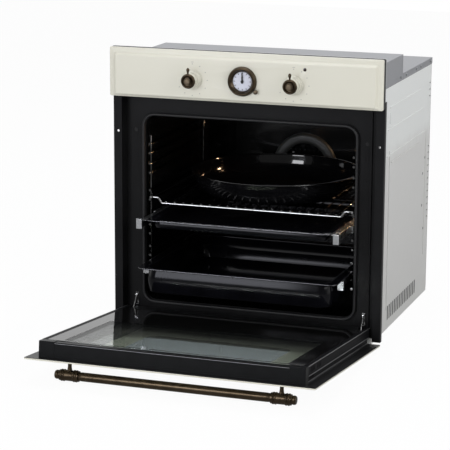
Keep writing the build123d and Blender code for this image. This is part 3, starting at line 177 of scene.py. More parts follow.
# Per finish: colour, roughness, metal share, grain scale, spread of shade, depth of relief, other values
PLAIN_FINISHES = {
    "cream_enamel": ((0.71, 0.69, 0.585), 0.3, 0.0, 8.0, 0.008, 0.0,
                     {"Coat Weight": 0.3, "Coat Roughness": 0.15}),
    "black_enamel": ((0.0105, 0.0105, 0.011), 0.3, 0.0, 12.0, 0.15, 0.0, {"Specular IOR Level": 0.12}),
    "cavity_enamel": ((0.004, 0.004, 0.004), 0.14, 0.0, 25.0, 0.3, 0.0, {"Specular IOR Level": 0.35}),
    "tray_enamel": ((0.004, 0.004, 0.0055), 0.1, 0.0, 25.0, 0.3, 0.0, {"Specular IOR Level": 0.2}),
    "pan_enamel": ((0.004, 0.004, 0.0045), 0.07, 0.0, 25.0, 0.3, 0.0, {"Specular IOR Level": 0.6}),
    # A lighter metallic copy of the black enamel: painted highlight on the tray rims and the door's cap
    # edges.
    "painted_highlight_enamel": ((0.16, 0.16, 0.17), 0.25, 0.8, 60.0, 0.1, 0.0),
    # Black for the glass prints and the fan bars, also used for painted shade behind the casing's slots.
    "print_black": ((0.005, 0.005, 0.005), 0.05, 0.0, 40.0, 0.2, 0.0, {"Specular IOR Level": 0.28}),
    "ground_coat": ((0.75, 0.74, 0.62), 0.5, 0.0, 30.0, 0.06, 0.0),
    # Light alloy strips: painted highlights along the dark door profiles' edges.
    "highlight_alloy": ((0.4, 0.4, 0.41), 0.35, 0.9, 60.0, 0.08, 0.0),
    # A lighter copy of the cavity enamel: painted light on the fan cover's intake ring.
    "ring_enamel_painted_light": ((0.045, 0.047, 0.044), 0.36, 0.0, 60.0, 0.1, 0.0),
    # A bright steel copy for the pan's rim: painted highlight.
    "pan_rim_painted_highlight": ((0.42, 0.42, 0.42), 0.22, 1.0, 60.0, 0.05, 0.0),
    "bronze": ((0.075, 0.056, 0.036), 0.3, 1.0, 70.0, 0.22, 0.00001),
    # A lighter copy of the bronze: painted highlight on the knob bosses and the clock's setting knob.
    "bronze_painted_highlight": ((0.16, 0.125, 0.085), 0.38, 1.0, 70.0, 0.2, 0.00001),
    "dial_white": ((0.82, 0.84, 0.9), 0.5, 0.0, 20.0, 0.01, 0.0),
    "mark_grey": ((0.3, 0.3, 0.28), 0.6, 0.0, 60.0, 0.1, 0.0),
    "hand_black": ((0.01, 0.01, 0.01), 0.4, 0.0, 60.0, 0.2, 0.0),
    "dark_plastic": ((0.02, 0.02, 0.022), 0.5, 0.0, 300.0, 0.2, 0.00002),
    "lamp_lens": ((0.015, 0.006, 0.005), 0.1, 0.0, 60.0, 0.2, 0.0),
    "seal_grey": ((0.015, 0.015, 0.016), 0.5, 0.0, 500.0, 0.3, 0.00002),
    # Black for the gaps round the fascia: painted shade.
    "black_rubber": ((0.012, 0.012, 0.012), 0.7, 0.0, 300.0, 0.3, 0.00002),
    "mineral_wool": ((0.55, 0.5, 0.36), 0.95, 0.0, 260.0, 0.25, 0.001),
    "screw_steel": ((0.42, 0.43, 0.44), 0.35, 1.0, 150.0, 0.1, 0.000005),
    "chrome_wire": ((0.48, 0.48, 0.49), 0.06, 1.0, 60.0, 0.05, 0.0),
    # A darker copy of the chrome wire: painted shade on the side racks deep in the cavity.
    "rack_chrome_painted_shade": ((0.14, 0.14, 0.14), 0.08, 1.0, 60.0, 0.05, 0.0),
    "runner_steel": ((0.6, 0.61, 0.62), 0.28, 1.0, 80.0, 0.06, 0.0),
    "heater_steel": ((0.05, 0.045, 0.042), 0.45, 1.0, 240.0, 0.3, 0.00002),
    "lamp_ceramic": ((0.7, 0.67, 0.6), 0.6, 0.0, 100.0, 0.05, 0.00002),
    "alloy_profile": ((0.008, 0.008, 0.009), 0.45, 0.0, 80.0, 0.15, 0.0, {"Specular IOR Level": 0.03}),
    # Black trim for hinges, spacers and seams, also used for painted shade on the casing's louvres and screw
    # holes.
    "black_trim": ((0.006, 0.0065, 0.007), 0.4, 0.0, 60.0, 0.15, 0.0, {"Specular IOR Level": 0.15}),
    "lever_steel": ((0.6, 0.6, 0.6), 0.18, 1.0, 60.0, 0.08, 0.0),
    "zinc_steel": ((0.68, 0.695, 0.68), 0.4, 0.3, 45.0, 0.05, 0.000003),
    # A darker copy of the zinc steel: painted shade on the casing's top plates.
    "top_steel_painted_shade": ((0.29, 0.295, 0.31), 0.42, 0.3, 45.0, 0.05, 0.000003),
}
# Per glass: the stain of what shows through it, share of haze, colour of the haze, strength of the mirror
GLASSES = {
    "clear_glass": ((0.98, 0.98, 0.99), 0.004, (0.6, 0.62, 0.6), 0.4),
    "inner_glass": ((0.97, 0.985, 0.98), 0.01, (0.5, 0.52, 0.5), 0.55),
    "coated_glass": ((0.94, 0.96, 0.94), 0.07, (0.62, 0.62, 0.52), 0.7),
    "tinted_glass": ((0.74, 0.78, 0.82), 0.02, (0.3, 0.32, 0.3), 0.5),
}
finishes = {name: plain_finish(name, *values) for name, values in PLAIN_FINISHES.items()}
finishes.update({name: sheer_glass(name, *values) for name, values in GLASSES.items()})
finishes["side_steel_painted_shading"] = painted_shading_steel()
finishes["cream_plastic"] = finishes["cream_enamel"]

# Nodes whose finish differs from their slot's
OWN_FINISH = {
    "cavity_liner": "cavity_enamel", "fan_wheel": "cavity_enamel",
    "left_side_panel": "side_steel_painted_shading", "right_side_panel": "side_steel_painted_shading",
    "front_top_cover": "top_steel_painted_shade", "rear_top_plate": "top_steel_painted_shade",
    "left_side_rack": "rack_chrome_painted_shade", "right_side_rack": "rack_chrome_painted_shade",
    "door_hinges": "black_trim", "door_inner_glass": "inner_glass", "door_middle_glass": "coated_glass",
}
WELD_DISTANCE, EDGE_WIDTH, EDGE_ANGLE = 0.00001, 0.0003, 40
slot_of = {part["node"]: part["material_slot"] for part in frame["record"]["subparts"]}
for name, node in nodes.items():
    node.data.materials.clear()
    node.data.materials.append(finishes[OWN_FINISH.get(name, slot_of[name])])
    weld = node.modifiers.new("weld", "WELD")
    weld.merge_threshold = WELD_DISTANCE
    edge = node.modifiers.new("edge", "BEVEL")
    edge.width = EDGE_WIDTH
    edge.segments = 2
    edge.limit_method = "ANGLE"
    edge.angle_limit = math.radians(EDGE_ANGLE)


# Shapes. Each is a list of points, in millimetres, and a list of faces.

def rounded(x, z, radius, steps=6):
    """The points of a round-cornered rectangle between pairs x and z, from its lower right corner."""
    corners = ((x[1] - radius, z[0] + radius, -90), (x[1] - radius, z[1] - radius, 0),
               (x[0] + radius, z[1] - radius, 90), (x[0] + radius, z[0] + radius, 180))
    outline = []
    for across, height, start in corners:
        for step in range(steps + 1):
            angle = math.radians(start + 90 * step / steps)
            outline.append((across + radius * math.cos(angle), height + radius * math.sin(angle)))
    return outline


def circle(centre, radius, steps=32):
    turns = [2 * math.pi * step / steps for step in range(steps)]
    return [(centre[0] + radius * math.cos(a), centre[1] + radius * math.sin(a)) for a in turns]


def grown(pair, amount):
    """A pair of limits, moved outwards by an amount."""
    return pair[0] - amount, pair[1] + amount


def upright(outline, y):
    """Stands an outline up at depth y."""
    return [Vector((x, y, z)) for x, z in outline]


def flat(outline, z):
    """Lays an outline down at height z."""
    return [Vector((x, y, z)) for x, y in outline]


def loft(loops, start=False, end=False):
    """A skin over closed loops of as many points each, with caps where start and end say so."""
    count = len(loops[0])
    faces = []
    for row in range(len(loops) - 1):
        for step in range(count):
            other = (step + 1) % count
            low, high = row * count, (row + 1) * count
            faces.append((low + step, low + other, high + other, high + step))
    if start:
        faces.append(tuple(range(count))[::-1])
    if end:
        faces.append(tuple(range((len(loops) - 1) * count, len(loops) * count)))
    return [point for loop in loops for point in loop], faces


def eased(points, radius, steps=4):
    """Rounds the inner corners of a line of points in the plane or in space."""
    points = [Vector(point) for point in points]
    line = [points[0]]
    for before, corner, after in zip(points, points[1:], points[2:]):
        near = min(radius, (before - corner).length * 0.45)
        far = min(radius, (after - corner).length * 0.45)
        first = corner + (before - corner).normalized() * near
        last = corner + (after - corner).normalized() * far
        for step in range(steps + 1):
            part = step / steps
            line.append(first.lerp(corner, part).lerp(corner.lerp(last, part), part))
    return line + [points[-1]]


# The way the oven's front faces
FORWARD = (0, -1, 0)


def lathe(profile, centre, axis=FORWARD, steps=64, turn=0.0):
    """A turned shape. The profile's points are a distance from the axis and one along it."""
    axis = Vector(axis).normalized()
    side = axis.orthogonal().normalized()
    other = axis.cross(side)
    loops = []
    for radius, along in profile:
        radius = max(radius, 0.01)
        ring = []
        for step in range(steps):
            angle = turn + 2 * math.pi * step / steps
            ring.append(Vector(centre) + axis * along
                        + (side * math.cos(angle) + other * math.sin(angle)) * radius)
        loops.append(ring)
    return loft(loops, start=profile[0][0] < 0.05, end=profile[-1][0] < 0.05)


def hoop(points, radius, sides=8):
    """A closed round wire through points."""
    loops = []
    side = None
    for index, point in enumerate(points):
        along = (points[(index + 1) % len(points)] - points[index - 1]).normalized()
        if side is None:
            side = along.orthogonal()
        side = (side - along * side.dot(along)).normalized()
        other = along.cross(side)
        turns = [2 * math.pi * step / sides for step in range(sides)]
        loops.append([point + (side * math.cos(a) + other * math.sin(a)) * radius for a in turns])
    return loft(loops + [loops[0]])


def pierced(outlines):
    """A flat face inside the first outline, with the others as holes. Each is a list of points."""
    mesh = bmesh.new()
    for outline in outlines:
        points = [mesh.verts.new(point) for point in outline]
        for index, point in enumerate(points):
            mesh.edges.new((points[index - 1], point))
    bmesh.ops.triangle_fill(mesh, use_beauty=True, edges=mesh.edges[:])
    mesh.verts.index_update()
    points = [point.co.copy() for point in mesh.verts]
    faces = [[point.index for point in face.verts] for face in mesh.faces]
    mesh.free()
    return points, faces


def block(x, y, z, radius):
    """A box with eased edges."""
    outline = rounded(x, z, radius, 3)
    small = rounded(grown(x, -radius / 2), grown(z, -radius / 2), radius, 3)
    loops = [upright(small, y[0]), upright(outline, y[0] + radius / 2),
             upright(outline, y[1] - radius / 2), upright(small, y[1])]
    return loft(loops, start=True, end=True)


JOIN_DISTANCE = 0.000002


def piece(name, shapes, finish, body, stands_for=(), sharp=35, sheet=None):
    """Makes one piece of the given shapes, that rides on a body and stands for CAD nodes."""
    points, faces = [], []
    for more, sides in shapes:
        faces.extend([tuple(len(points) + index for index in side) for side in sides])
        points.extend([point * MM for point in more])
    mesh = bpy.data.meshes.new(name)
    mesh.from_pydata(points, [], faces)
    work = bmesh.new()
    work.from_mesh(mesh)
    bmesh.ops.remove_doubles(work, verts=work.verts[:], dist=JOIN_DISTANCE)
    bmesh.ops.recalc_face_normals(work, faces=work.faces[:])
    work.to_mesh(mesh)
    work.free()
    mesh.materials.append(finishes[finish])
    mesh.shade_smooth()
    mesh.set_sharp_from_angle(angle=math.radians(sharp))
    made = bpy.data.objects.new(name, mesh)
    scene.collection.objects.link(made)
    if sheet:
        skin = made.modifiers.new("skin", "SOLIDIFY")
        skin.thickness = sheet * MM
        skin.offset = -1
    shade = made.modifiers.new("shade", "WEIGHTED_NORMAL")
    shade.keep_sharp = True
    shade.weight = 100
    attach(made, body)
    if stands_for:
        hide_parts(*stands_for)


# Control fascia: a pressed shell with a raised field

FACE_X, FACE_Z = (-297.5, 297.5), (505.0, 609.0)
FIELD_X, FIELD_Z = (-283, 283), (511.0, 594.0)
SHELL_Y, SKIRT_Y, FRONT_Y, FIELD_Y = -270.0, -285.2, -290, -296.0
KNOB_X, KNOB_Z, KNOB_HOLE = 110.0, 549.0, 5.0
CLOCK, CLOCK_HOLE = (0.0, 551.0), 27.0
SETTING, SETTING_HOLE = (30.5, 531.0), 2.05
INDICATOR, INDICATOR_HOLE = (133.7, 582.0), 3.7


def face_loop(grow, y, radius):
    """A loop round the raised field, grown on every side."""
    return upright(rounded(grown(FIELD_X, grow), grown(FIELD_Z, grow), radius), y)


def edge_loop(inset, y, radius):
    """A loop round the fascia's outer edge, pulled in on every side."""
    return upright(rounded(grown(FACE_X, -inset), grown(FACE_Z, -inset), radius), y)


skirt_loops = ((0.9, SHELL_Y, 2.5), (0.9, -284.8, 2.5), (0, SKIRT_Y, 3), (0, -288.2, 3),
               (0.25, -289.2, 3), (0.9, -289.8, 3), (1.8, FRONT_Y, 3), (1.9, FRONT_Y, 3))
field_loops = ((5.0, FRONT_Y, 5), (4.2, -290.3, 4.6), (3.6, -290.9, 4.2), (1.0, -294.6, 3),
               (0.2, -295.5, 2.4), (-0.8, -295.93, 2), (-1.8, FIELD_Y, 2), (-1.9, FIELD_Y, 2))
skin = loft([edge_loop(*values) for values in skirt_loops] + [face_loop(*values) for values in field_loops])
holes = [circle((side * KNOB_X, KNOB_Z), KNOB_HOLE) for side in (-1, 1)]
holes += [circle(CLOCK, CLOCK_HOLE, 48), circle(SETTING, SETTING_HOLE), circle(INDICATOR, INDICATOR_HOLE)]
field = pierced([face_loop(-1.9, FIELD_Y, 2)] + [upright(hole, FIELD_Y) for hole in holes])
piece("fascia_shell", [skin, field], "cream_enamel", "housing", ["control_fascia"], 60,
      sheet=1.4)

# Painted shade: dark strips behind the fascia and round its side edge, where the gap to the casing lies in
# shadow.
GAP_SHADE_Z, GAP_SHADE_BACK = (520.5, 609.0), -267.4
back_gap_shade = []
for inset, y in ((3.0, SHELL_Y), (0.3, SHELL_Y), (0.3, GAP_SHADE_BACK), (3.0, GAP_SHADE_BACK), (3.0, SHELL_Y)):
    back_gap_shade.append(upright(rounded(grown(FACE_X, -inset), grown(GAP_SHADE_Z, -inset), 3), y))
skirt_gap_shade = [edge_loop(inset, y, 2.8)
              for inset, y in ((0.9, -270.1), (0.3, -270.1), (0.3, -284.7), (0.9, -284.7))]
piece("fascia_gap_shade", [loft(back_gap_shade), loft(skirt_gap_shade)], "black_rubber", "housing")

DOT_REACH, DOT_TURN = 33, 30
marks = []
for side in (-1, 1):
    for turn in range(9):
        angle = math.radians(90 - DOT_TURN * turn)
        x, z = side * KNOB_X + DOT_REACH * math.cos(angle), KNOB_Z + DOT_REACH * math.sin(angle)
        marks.append(lathe([(1.0, 0), (1.0, 0.04), (0, 0.05)], (x, FIELD_Y + 0.02, z), steps=12))
    marks.append(block((side * KNOB_X - 3, side * KNOB_X + 3), (FIELD_Y - 0.02, FIELD_Y + 0.02),
                       (KNOB_Z + 36.5, KNOB_Z + 37.3), 0.2))
piece("fascia_marks", marks, "mark_grey", "housing")

# Knobs, each a stepped skirt with a ringed cap and a pointer

KNOB_GAP, SKIRT_TALL = 0.6, 22.4
POINTER = ((11.5, 1.9), (15, 1.7), (17.5, 1.7), (20, 2.4), (22.6, 3.3), (25.2, 3.1), (27.0, 1.9),
           (27.9, 0.8))
for side, side_name in ((-1, "left"), (1, "right")):
    centre = Vector((side * KNOB_X, FIELD_Y - KNOB_GAP, KNOB_Z))
    skirt = eased([(3, 0), (20.6, 0), (20.6, 1.6), (19.4, 2.6), (17.6, 2.6), (17.2, 5.8), (15.8, 7.0),
                   (13.6, 7.0), (13.0, 9.6), (12.6, 20.4), (11.6, SKIRT_TALL), (0, SKIRT_TALL)], 0.6, 3)
    spindle = [(3.0, 0.4), (3.0, -38.0), (0, -38.6)]
    piece(side_name + "_knob_skirt", [lathe(skirt, centre), lathe(spindle, centre, steps=24)],
          "cream_enamel", side_name + "_knob", [side_name + "_knob"])
    cap_base = centre + Vector((0, -SKIRT_TALL, 0))
    ring = eased([(0, 0), (13.8, 0), (15.4, 1.6), (15.5, 3.6), (14.2, 6.0), (12.4, 6.5), (11.0, 5.8),
                  (10.2, 4.8), (9.0, 4.4), (0, 4.4)], 1.0, 3)
    boss = eased([(6.8, 4.0), (7.4, 5.0), (8.0, 8.4), (7.2, 10.6), (5.2, 11.4), (0, 11.5)], 0.4, 2)
    stem = []
    for along, half in POINTER:
        outline = rounded((-half, half), (-half * 0.75, half * 0.75), half * 0.6, 3)
        stem.append([cap_base + Vector((x, -3.5 + y, along)) for x, y in outline])
    piece(side_name + "_cap_ring", [lathe(ring, cap_base), loft(stem, start=True, end=True)],
          "bronze", side_name + "_knob", [side_name + "_knob_cap"])
    # The boss in lighter bronze: a painted highlight.
    piece(side_name + "_cap_boss", [lathe(boss, cap_base, steps=8, turn=math.radians(22.5))],
          "bronze_painted_highlight", side_name + "_knob")

# Clock: bezel, dial with marks, hands, lens and setting knob

clock_base = Vector((CLOCK[0], FIELD_Y, CLOCK[1]))
bezel = eased([(23.5, 5.4), (23.5, 0), (31, 0), (31, 3.0), (29.9, 4.2), (30.1, 7.0), (28.6, 10.2),
               (26.6, 11.0), (24.6, 10.0), (23.2, 7.0), (21.6, 5.6), (23.5, 5.4)], 0.8, 3)
piece("clock_ring", [lathe(bezel, clock_base, steps=96)], "bronze", "housing", ["clock_bezel"], 50)
DIAL_Y = FIELD_Y - 0.82
LONG_MARK, SHORT_MARK = (15.6, 19.4, 0.62), (18.2, 19.4, 0.22)
dial_marks = []
for step in range(60):
    inner, outer, half = LONG_MARK if step % 5 == 0 else SHORT_MARK
    angle = math.radians(6 * step)
    out = Vector((math.sin(angle), 0, math.cos(angle)))
    across = Vector((math.cos(angle), 0, -math.sin(angle)))
    corners = [out * inner - across * half, out * inner + across * half,
               out * outer + across * half, out * outer - across * half]
    loops = [[Vector((0, DIAL_Y - lift, CLOCK[1])) + point for point in corners] for lift in (0, 0.06)]
    dial_marks.append(loft(loops, start=True, end=True))
piece("dial_marks", dial_marks, "hand_black", "housing")
dial_rim = lathe([(23.3, 0.9), (20.0, 0.9), (21.0, 2.2), (23.3, 4.2), (23.3, 0.9)],
                 clock_base + Vector((0, -0.05, 0)), steps=96)
piece("dial_rim", [dial_rim], "bronze", "housing")

# Per hand: the back of its hub, the hub's thickness, its reach, the place of its disc and its half width
HANDS = {"hour": (-297.1, 1.4, 12.5, 8.0, 2.0), "minute": (-298.7, 1.1, 18.6, 0, 1.7)}
for hand, (back, thick, reach, disc, wide) in HANDS.items():
    hub = eased([(0.85, 0), (3.1, 0), (3.1, thick * 0.7), (2.4, thick), (0.85, thick)], 0.3, 2)
    shapes = [lathe(hub, (0, back, CLOCK[1]), steps=32)]
    front = back - thick + 0.55
    tapered = [Vector((-wide, front, CLOCK[1] - 4)), Vector((wide, front, CLOCK[1] - 4)),
               Vector((wide * 0.6, front, CLOCK[1] + reach)), Vector((-wide * 0.6, front, CLOCK[1] + reach))]
    lifted = [point + Vector((0, -0.45, 0)) for point in tapered]
    shapes.append(loft([tapered, lifted], start=True, end=True))
    if disc:
        spot = [(0, 0), (2.1, 0), (2.1, 0.45), (0, 0.45)]
        shapes.append(lathe(spot, (0, front, CLOCK[1] + disc), steps=24))
    piece(hand + "_hand", shapes, "hand_black", hand + "_hand", ["clock_" + hand + "_hand"])
setting = eased([(2.0, -10), (2.0, 0.4), (3.2, 0.5), (3.2, 2.6), (2.4, 3.0), (4.2, 3.4), (4.5, 4.4),
                 (4.5, 8.2), (3.2, 9.4), (0, 9.6)], 0.5, 3)
# The setting knob in lighter bronze: a painted highlight.
piece("setting_knob", [lathe(setting, (SETTING[0], FIELD_Y, SETTING[1]), steps=32)], "bronze_painted_highlight",
      "clock_knob", ["clock_setting_knob"])
lamp_dome = eased([(3.6, -26), (3.6, 0.2), (2.9, 0.9), (0, 1.0)], 0.4, 3)
piece("indicator_dome", [lathe(lamp_dome, (INDICATOR[0], FIELD_Y, INDICATOR[1]), steps=32)], "lamp_lens",
      "housing", ["indicator_lamp"])


# Gasket: a rounded tube of seal round the mouth, its open side against the frame

MOUTH_X, MOUTH_Z, MOUTH_RADIUS = (-232, 232), (57, 460), 22
FRAME_Y = -248.1
TUBE_GROW, TUBE_Y, TUBE_WIDE, TUBE_DEEP = 3.9, -254.4, 3.05, 3.25


def mouth_loop(grow, y):
    """A loop of the cavity mouth's outline, grown on every side."""
    return upright(rounded(grown(MOUTH_X, grow), grown(MOUTH_Z, grow), MOUTH_RADIUS + grow, 8), y)


tube = []
for step in range(13):
    angle = math.radians(180 - 180 * step / 12)
    tube.append(mouth_loop(TUBE_GROW + TUBE_WIDE * math.cos(angle), TUBE_Y - TUBE_DEEP * math.sin(angle)))
seal = loft([mouth_loop(1.1, FRAME_Y)] + tube + [mouth_loop(6.7, FRAME_Y)])
piece("mouth_seal", [seal], "seal_grey", "housing", ["door_gasket"])

# Fan cover: a pressed box with a raised, rounded intake ring and bars

FAN_Z, RING_OUTER, RING_INNER = 292.0, 76.0, 52.0
COVER_X, COVER_Z, COVER_Y = (-175, 175), (FAN_Z - 115, FAN_Z + 115), 164


def cover_loop(grow, y):
    """A loop of the fan cover's outline, grown on every side."""
    return upright(rounded(grown(COVER_X, grow), grown(COVER_Z, grow), 14), y)


cover_steps = ((0, 186), (0, 168), (-0.6, 165.8), (-2, 164.4), (-4, COVER_Y), (-4.2, COVER_Y))
cover_loops = [cover_loop(grow, y) for grow, y in cover_steps]
cover_face = pierced([cover_loops[-1], upright(circle((0, FAN_Z), RING_OUTER, 64), COVER_Y)])
ring_shape = eased([(RING_OUTER, COVER_Y), (RING_OUTER, 159), (RING_OUTER - 2, 156), (RING_OUTER - 7, 154.3),
                    (RING_INNER + 9, 154.1), (RING_INNER + 4, 155), (RING_INNER + 0.6, 158),
                    (RING_INNER, 161), (RING_INNER, 168)], 1.5, 2)
ring_loops = [upright(circle((0, FAN_Z), radius, 64), y) for radius, y in ring_shape]
BAR_PITCH = 11.0
bars = []
for bar in range(9):
    across = (bar - 4) * BAR_PITCH
    tall = math.sqrt((RING_INNER + 0.5) ** 2 - across ** 2)
    bars.append(block((across - 1.5, across + 1.5), (157.5, 159.5), (FAN_Z - tall, FAN_Z + tall), 0.6))
piece("fan_shroud", [loft(cover_loops), cover_face], "cavity_enamel", "housing",
      ["fan_cover"], 40)
piece("fan_ring", [loft(ring_loops)], "ring_enamel_painted_light", "housing", sharp=40)
piece("fan_bars", bars, "print_black", "housing")


# Trays with drawn corners and rolled rims. The tilts are those of the walls' strips, from the top down.

WALL_TILTS = (13, 11.5, 10, 8, 6, -4, -7, -9, -11, -13)
TRAY_LONG = 370.0


def tray_shape(half, rim, front, depth, flange, end_flange, bowl_radius):
    """A pressed tray's skin from its rolled rim to its floor."""
    edge_x, edge_y = (-half, half), (front, front + TRAY_LONG)
    bowl_x, bowl_y = grown(edge_x, -flange), grown(edge_y, -end_flange)
    loops = []
    for grow, drop, radius in ((0.0, 2.2, 16), (0.1, 1.0, 16), (-0.5, 0.15, 16), (-1.5, 0, 15)):
        loops.append(flat(rounded(grown(edge_x, grow), grown(edge_y, grow), radius), rim - drop))
    steps = [(3.0, 0.0, bowl_radius + 3), (1.2, -0.3, bowl_radius + 1.5), (0.0, -1.2, bowl_radius),
             (-0.4, -3.0, bowl_radius)]
    tall, lean = (depth - 6.0) / len(WALL_TILTS), 0.4
    for step, tilt in enumerate(WALL_TILTS):
        lean -= tall * math.tan(math.radians(tilt))
        steps.append((-lean, -3.0 - tall * (step + 1), bowl_radius))
    steps += [(-lean - 3.0, -depth + 1.8, bowl_radius - 2), (-lean - 7.0, -depth + 1.2, bowl_radius - 5)]
    for grow, drop, radius in steps:
        loops.append(flat(rounded(grown(bowl_x, grow), grown(bowl_y, grow), max(3.0, radius)), rim + drop))
    return loft(loops, end=True)


# Per tray: half its width, its rim's height, its front, its depth, its flanges and the bowl's corner radius
TRAYS = {"upper_tray": (205, 250, -332, 19, 17, 12, 16), "lower_tray": (219.5, 147, -342, 55, 20, 14, 22)}
for tray, measures in TRAYS.items():
    half, rim, front = measures[:3]
    piece(tray + "_skin", [tray_shape(*measures)], "tray_enamel", tray, [tray], 50,
          sheet=1.1)
    # A thin bright hoop along each tray's rolled rim: a painted highlight.
    edge_line = rounded(grown((-half, half), -0.3), grown((front, front + TRAY_LONG), -0.3), 15.7)
    piece(tray + "_rim", [hoop(flat(edge_line, rim - 0.35), 0.65)], "painted_highlight_enamel", tray)

# Round pan: a curved wall under a narrow rolled rim

PAN_Y, PAN_BASE, PAN_RIM, PAN_RADIUS, RIM_RADIUS = -56.0, 274.7, 324.7, 188.0, 187.2
PAN_SHEET, WALL_FOOT, WALL_REACH, WALL_RISE = 1.4, 147.0, 34.0, 46.0


def pan_wall(thick, turns):
    """Points up the curved wall, a quarter of an ellipse, moved inwards by its thickness."""
    points = []
    for turn in turns:
        bend = math.radians(turn)
        points.append((WALL_FOOT + (WALL_REACH - thick) * math.sin(bend),
                       PAN_BASE + WALL_RISE - (WALL_RISE - thick) * math.cos(bend)))
    return points


climb = [10.0 * step for step in range(9)]
pan = [(0, PAN_BASE + PAN_SHEET)] + pan_wall(PAN_SHEET, climb)
pan += eased([(180.2, PAN_RIM - 3.6), (181.2, PAN_RIM - 0.4), (186.5, PAN_RIM), (PAN_RADIUS, PAN_RIM - 1.4),
              (187.0, PAN_RIM - 3.0), (182.4, PAN_RIM - 2.0), (181.6, PAN_RIM - 5.0)], 1.0, 3)
pan += pan_wall(0.0, climb[::-1]) + [(0, PAN_BASE)]
piece("pan_skin", [lathe(pan, (0, PAN_Y, 0), (0, 0, 1), 128)], "pan_enamel", "shelf",
      ["round_pan"], 50)
# A thin bright hoop along the pan's rolled rim: a painted highlight.
rim_line = flat(circle((0, PAN_Y), RIM_RADIUS, 96), PAN_RIM - 1.2)
piece("pan_rim", [hoop(rim_line, 0.75)], "pan_rim_painted_highlight", "shelf")


# Door handle, turned between two ringed collars, on the open door's own axes

DOOR_UP = Vector((0, -0.99540, 0.09585))
DOOR_IN = Vector((0, 0.09585, 0.99540))
DOOR_FOOT = Vector((0, -263.84, 4.29))


def on_door(x, a, t):
    """A point of the door from its distances along, up and through it."""
    return Vector((x, 0, 0)) + DOOR_FOOT + DOOR_UP * a + DOOR_IN * t


HANDLE_A, HANDLE_T, COLLAR_X, POST_X = 434.5, -33.0, 197.5, 218
COLLAR_RINGS = (4.9, 9.8, 31.2, 36.1)
bar = eased([(0, -198), (8.4, -197.8), (9, -190), (9, 190), (8.4, 197.8), (0, 198)], 1.0, 2)
piece("handle_bar", [lathe(bar, on_door(0, HANDLE_A, HANDLE_T), (1, 0, 0))], "bronze", "door",
      ["door_handle_bar"])
mounts = []
for side in (-1, 1):
    collar = [(0, 0), (10.8, 0)]
    for ring in COLLAR_RINGS:
        collar += [(10.8, ring - 1.9), (11.9, ring - 1.1), (12.0, ring), (11.9, ring + 1.1),
                   (10.8, ring + 1.9)]
    collar += [(10.8, 40.9), (9.0, 41.3), (8.2, 42.6), (8.6, 43.6), (9.0, 45.0), (8.9, 48.0), (7.6, 50.2),
               (0, 51)]
    collar_place = on_door(side * COLLAR_X, HANDLE_A, HANDLE_T)
    mounts.append(lathe(eased(collar, 0.4, 2), collar_place, (side, 0, 0)))
    post = eased([(6.6, 0), (6.6, 1.6), (5.0, 2.6), (4.0, 4.0), (3.8, 14), (4.6, 20), (5.4, 24), (0, 25)],
                 0.8, 3)
    mounts.append(lathe(post, on_door(side * POST_X, HANDLE_A, 0), -DOOR_IN, 32))
piece("handle_mounts", mounts, "bronze", "door", ["door_handle_mounts"])


# Door: cream face with a window, black back, glass with printed borders, dark profiles

def door_loop(x, a, radius, t, steps=6):
    """A round-cornered loop in the door's own frame."""
    return [on_door(across, up, t) for across, up in rounded(x, a, radius, steps)]


DOOR_X, DOOR_A = (-297.0, 297.0), (0.0, 480.0)
WINDOW_X, WINDOW_A = (-180.0, 180.0), (150.0, 390.0)
FACE_T, BACK_T = 3.1, 4.0
outer_edge = [door_loop(grown(DOOR_X, g), grown(DOOR_A, g), 3.0, t)
              for g, t in ((-1.6, 0), (-1.4, 0.02), (-0.5, 0.35), (0, 1.2), (0, FACE_T))]
window_edge = [door_loop(grown(WINDOW_X, g), grown(WINDOW_A, g), 25.0 + g, t)
               for g, t in ((1.4, 0), (1.2, 0.02), (0.35, 0.3), (0, 1.0), (0, FACE_T))]
piece("door_face", [loft(outer_edge), loft(window_edge), pierced([outer_edge[0], window_edge[0]])],
      "cream_enamel", "door", ["door_outer_panel"], 60)
back_edge = [door_loop(grown(DOOR_X, g), grown(DOOR_A, g), 3.0, t)
             for g, t in ((0, FACE_T), (-0.4, 3.9), (-1.0, BACK_T))]
back_window = [door_loop(WINDOW_X, WINDOW_A, 25.0, t) for t in (FACE_T, BACK_T)]
piece("door_face_back", [loft(back_edge), loft(back_window), pierced([back_edge[-1], back_window[-1]])],
      "black_enamel", "door")


# Per plate: its outline and its hole as x, a and corner radius, its two depths and its finish
OUTER_PLATE = (((-194.8, 194.8), (135.2, 404.8), 1.0), ((-155, 155), (160, 380), 22.0))
DOOR_PLATES = {
    "glass_border": (((-262.2, 262.2), (38.3, 445.6), 1.0), ((-230, 230), (198, 440), 5.0),
                     (37.02, 37.12), "print_black"),
    "panel_lining": (((-207, 207), (60, 445), 1.0), ((-195.3, 195.3), (134.7, 405.3), 1.0),
                     (4.05, 4.4), "ground_coat"),
    "outer_glass_border": (*OUTER_PLATE, (8.1, 8.2), "ground_coat"),
    "outer_glass_print": (*OUTER_PLATE, (8.02, 8.08), "print_black"),
}
for name, (outside, hole, depths, finish) in DOOR_PLATES.items():
    edges, rims = [[door_loop(*outline, t) for t in depths] for outline in (outside, hole)]
    shapes = [pierced([edges[0], rims[0]]), pierced([edges[1], rims[1]]), loft(edges), loft(rims)]
    piece(name, shapes, finish, "door", sharp=30)


def door_block(x, a, t):
    """A bar in the door's own frame."""
    return loft([door_loop(x, a, 0.2, depth, 2) for depth in t], start=True, end=True)


spacers = []
for side in (-1, 1):
    spacer_x = sorted((side * 229.5, side * 232.0))
    spacers += [door_block(spacer_x, (60, 444), depths) for depths in ((4.2, 19.8), (23.2, 32.8))]
piece("glass_spacers", spacers, "black_trim", "door")
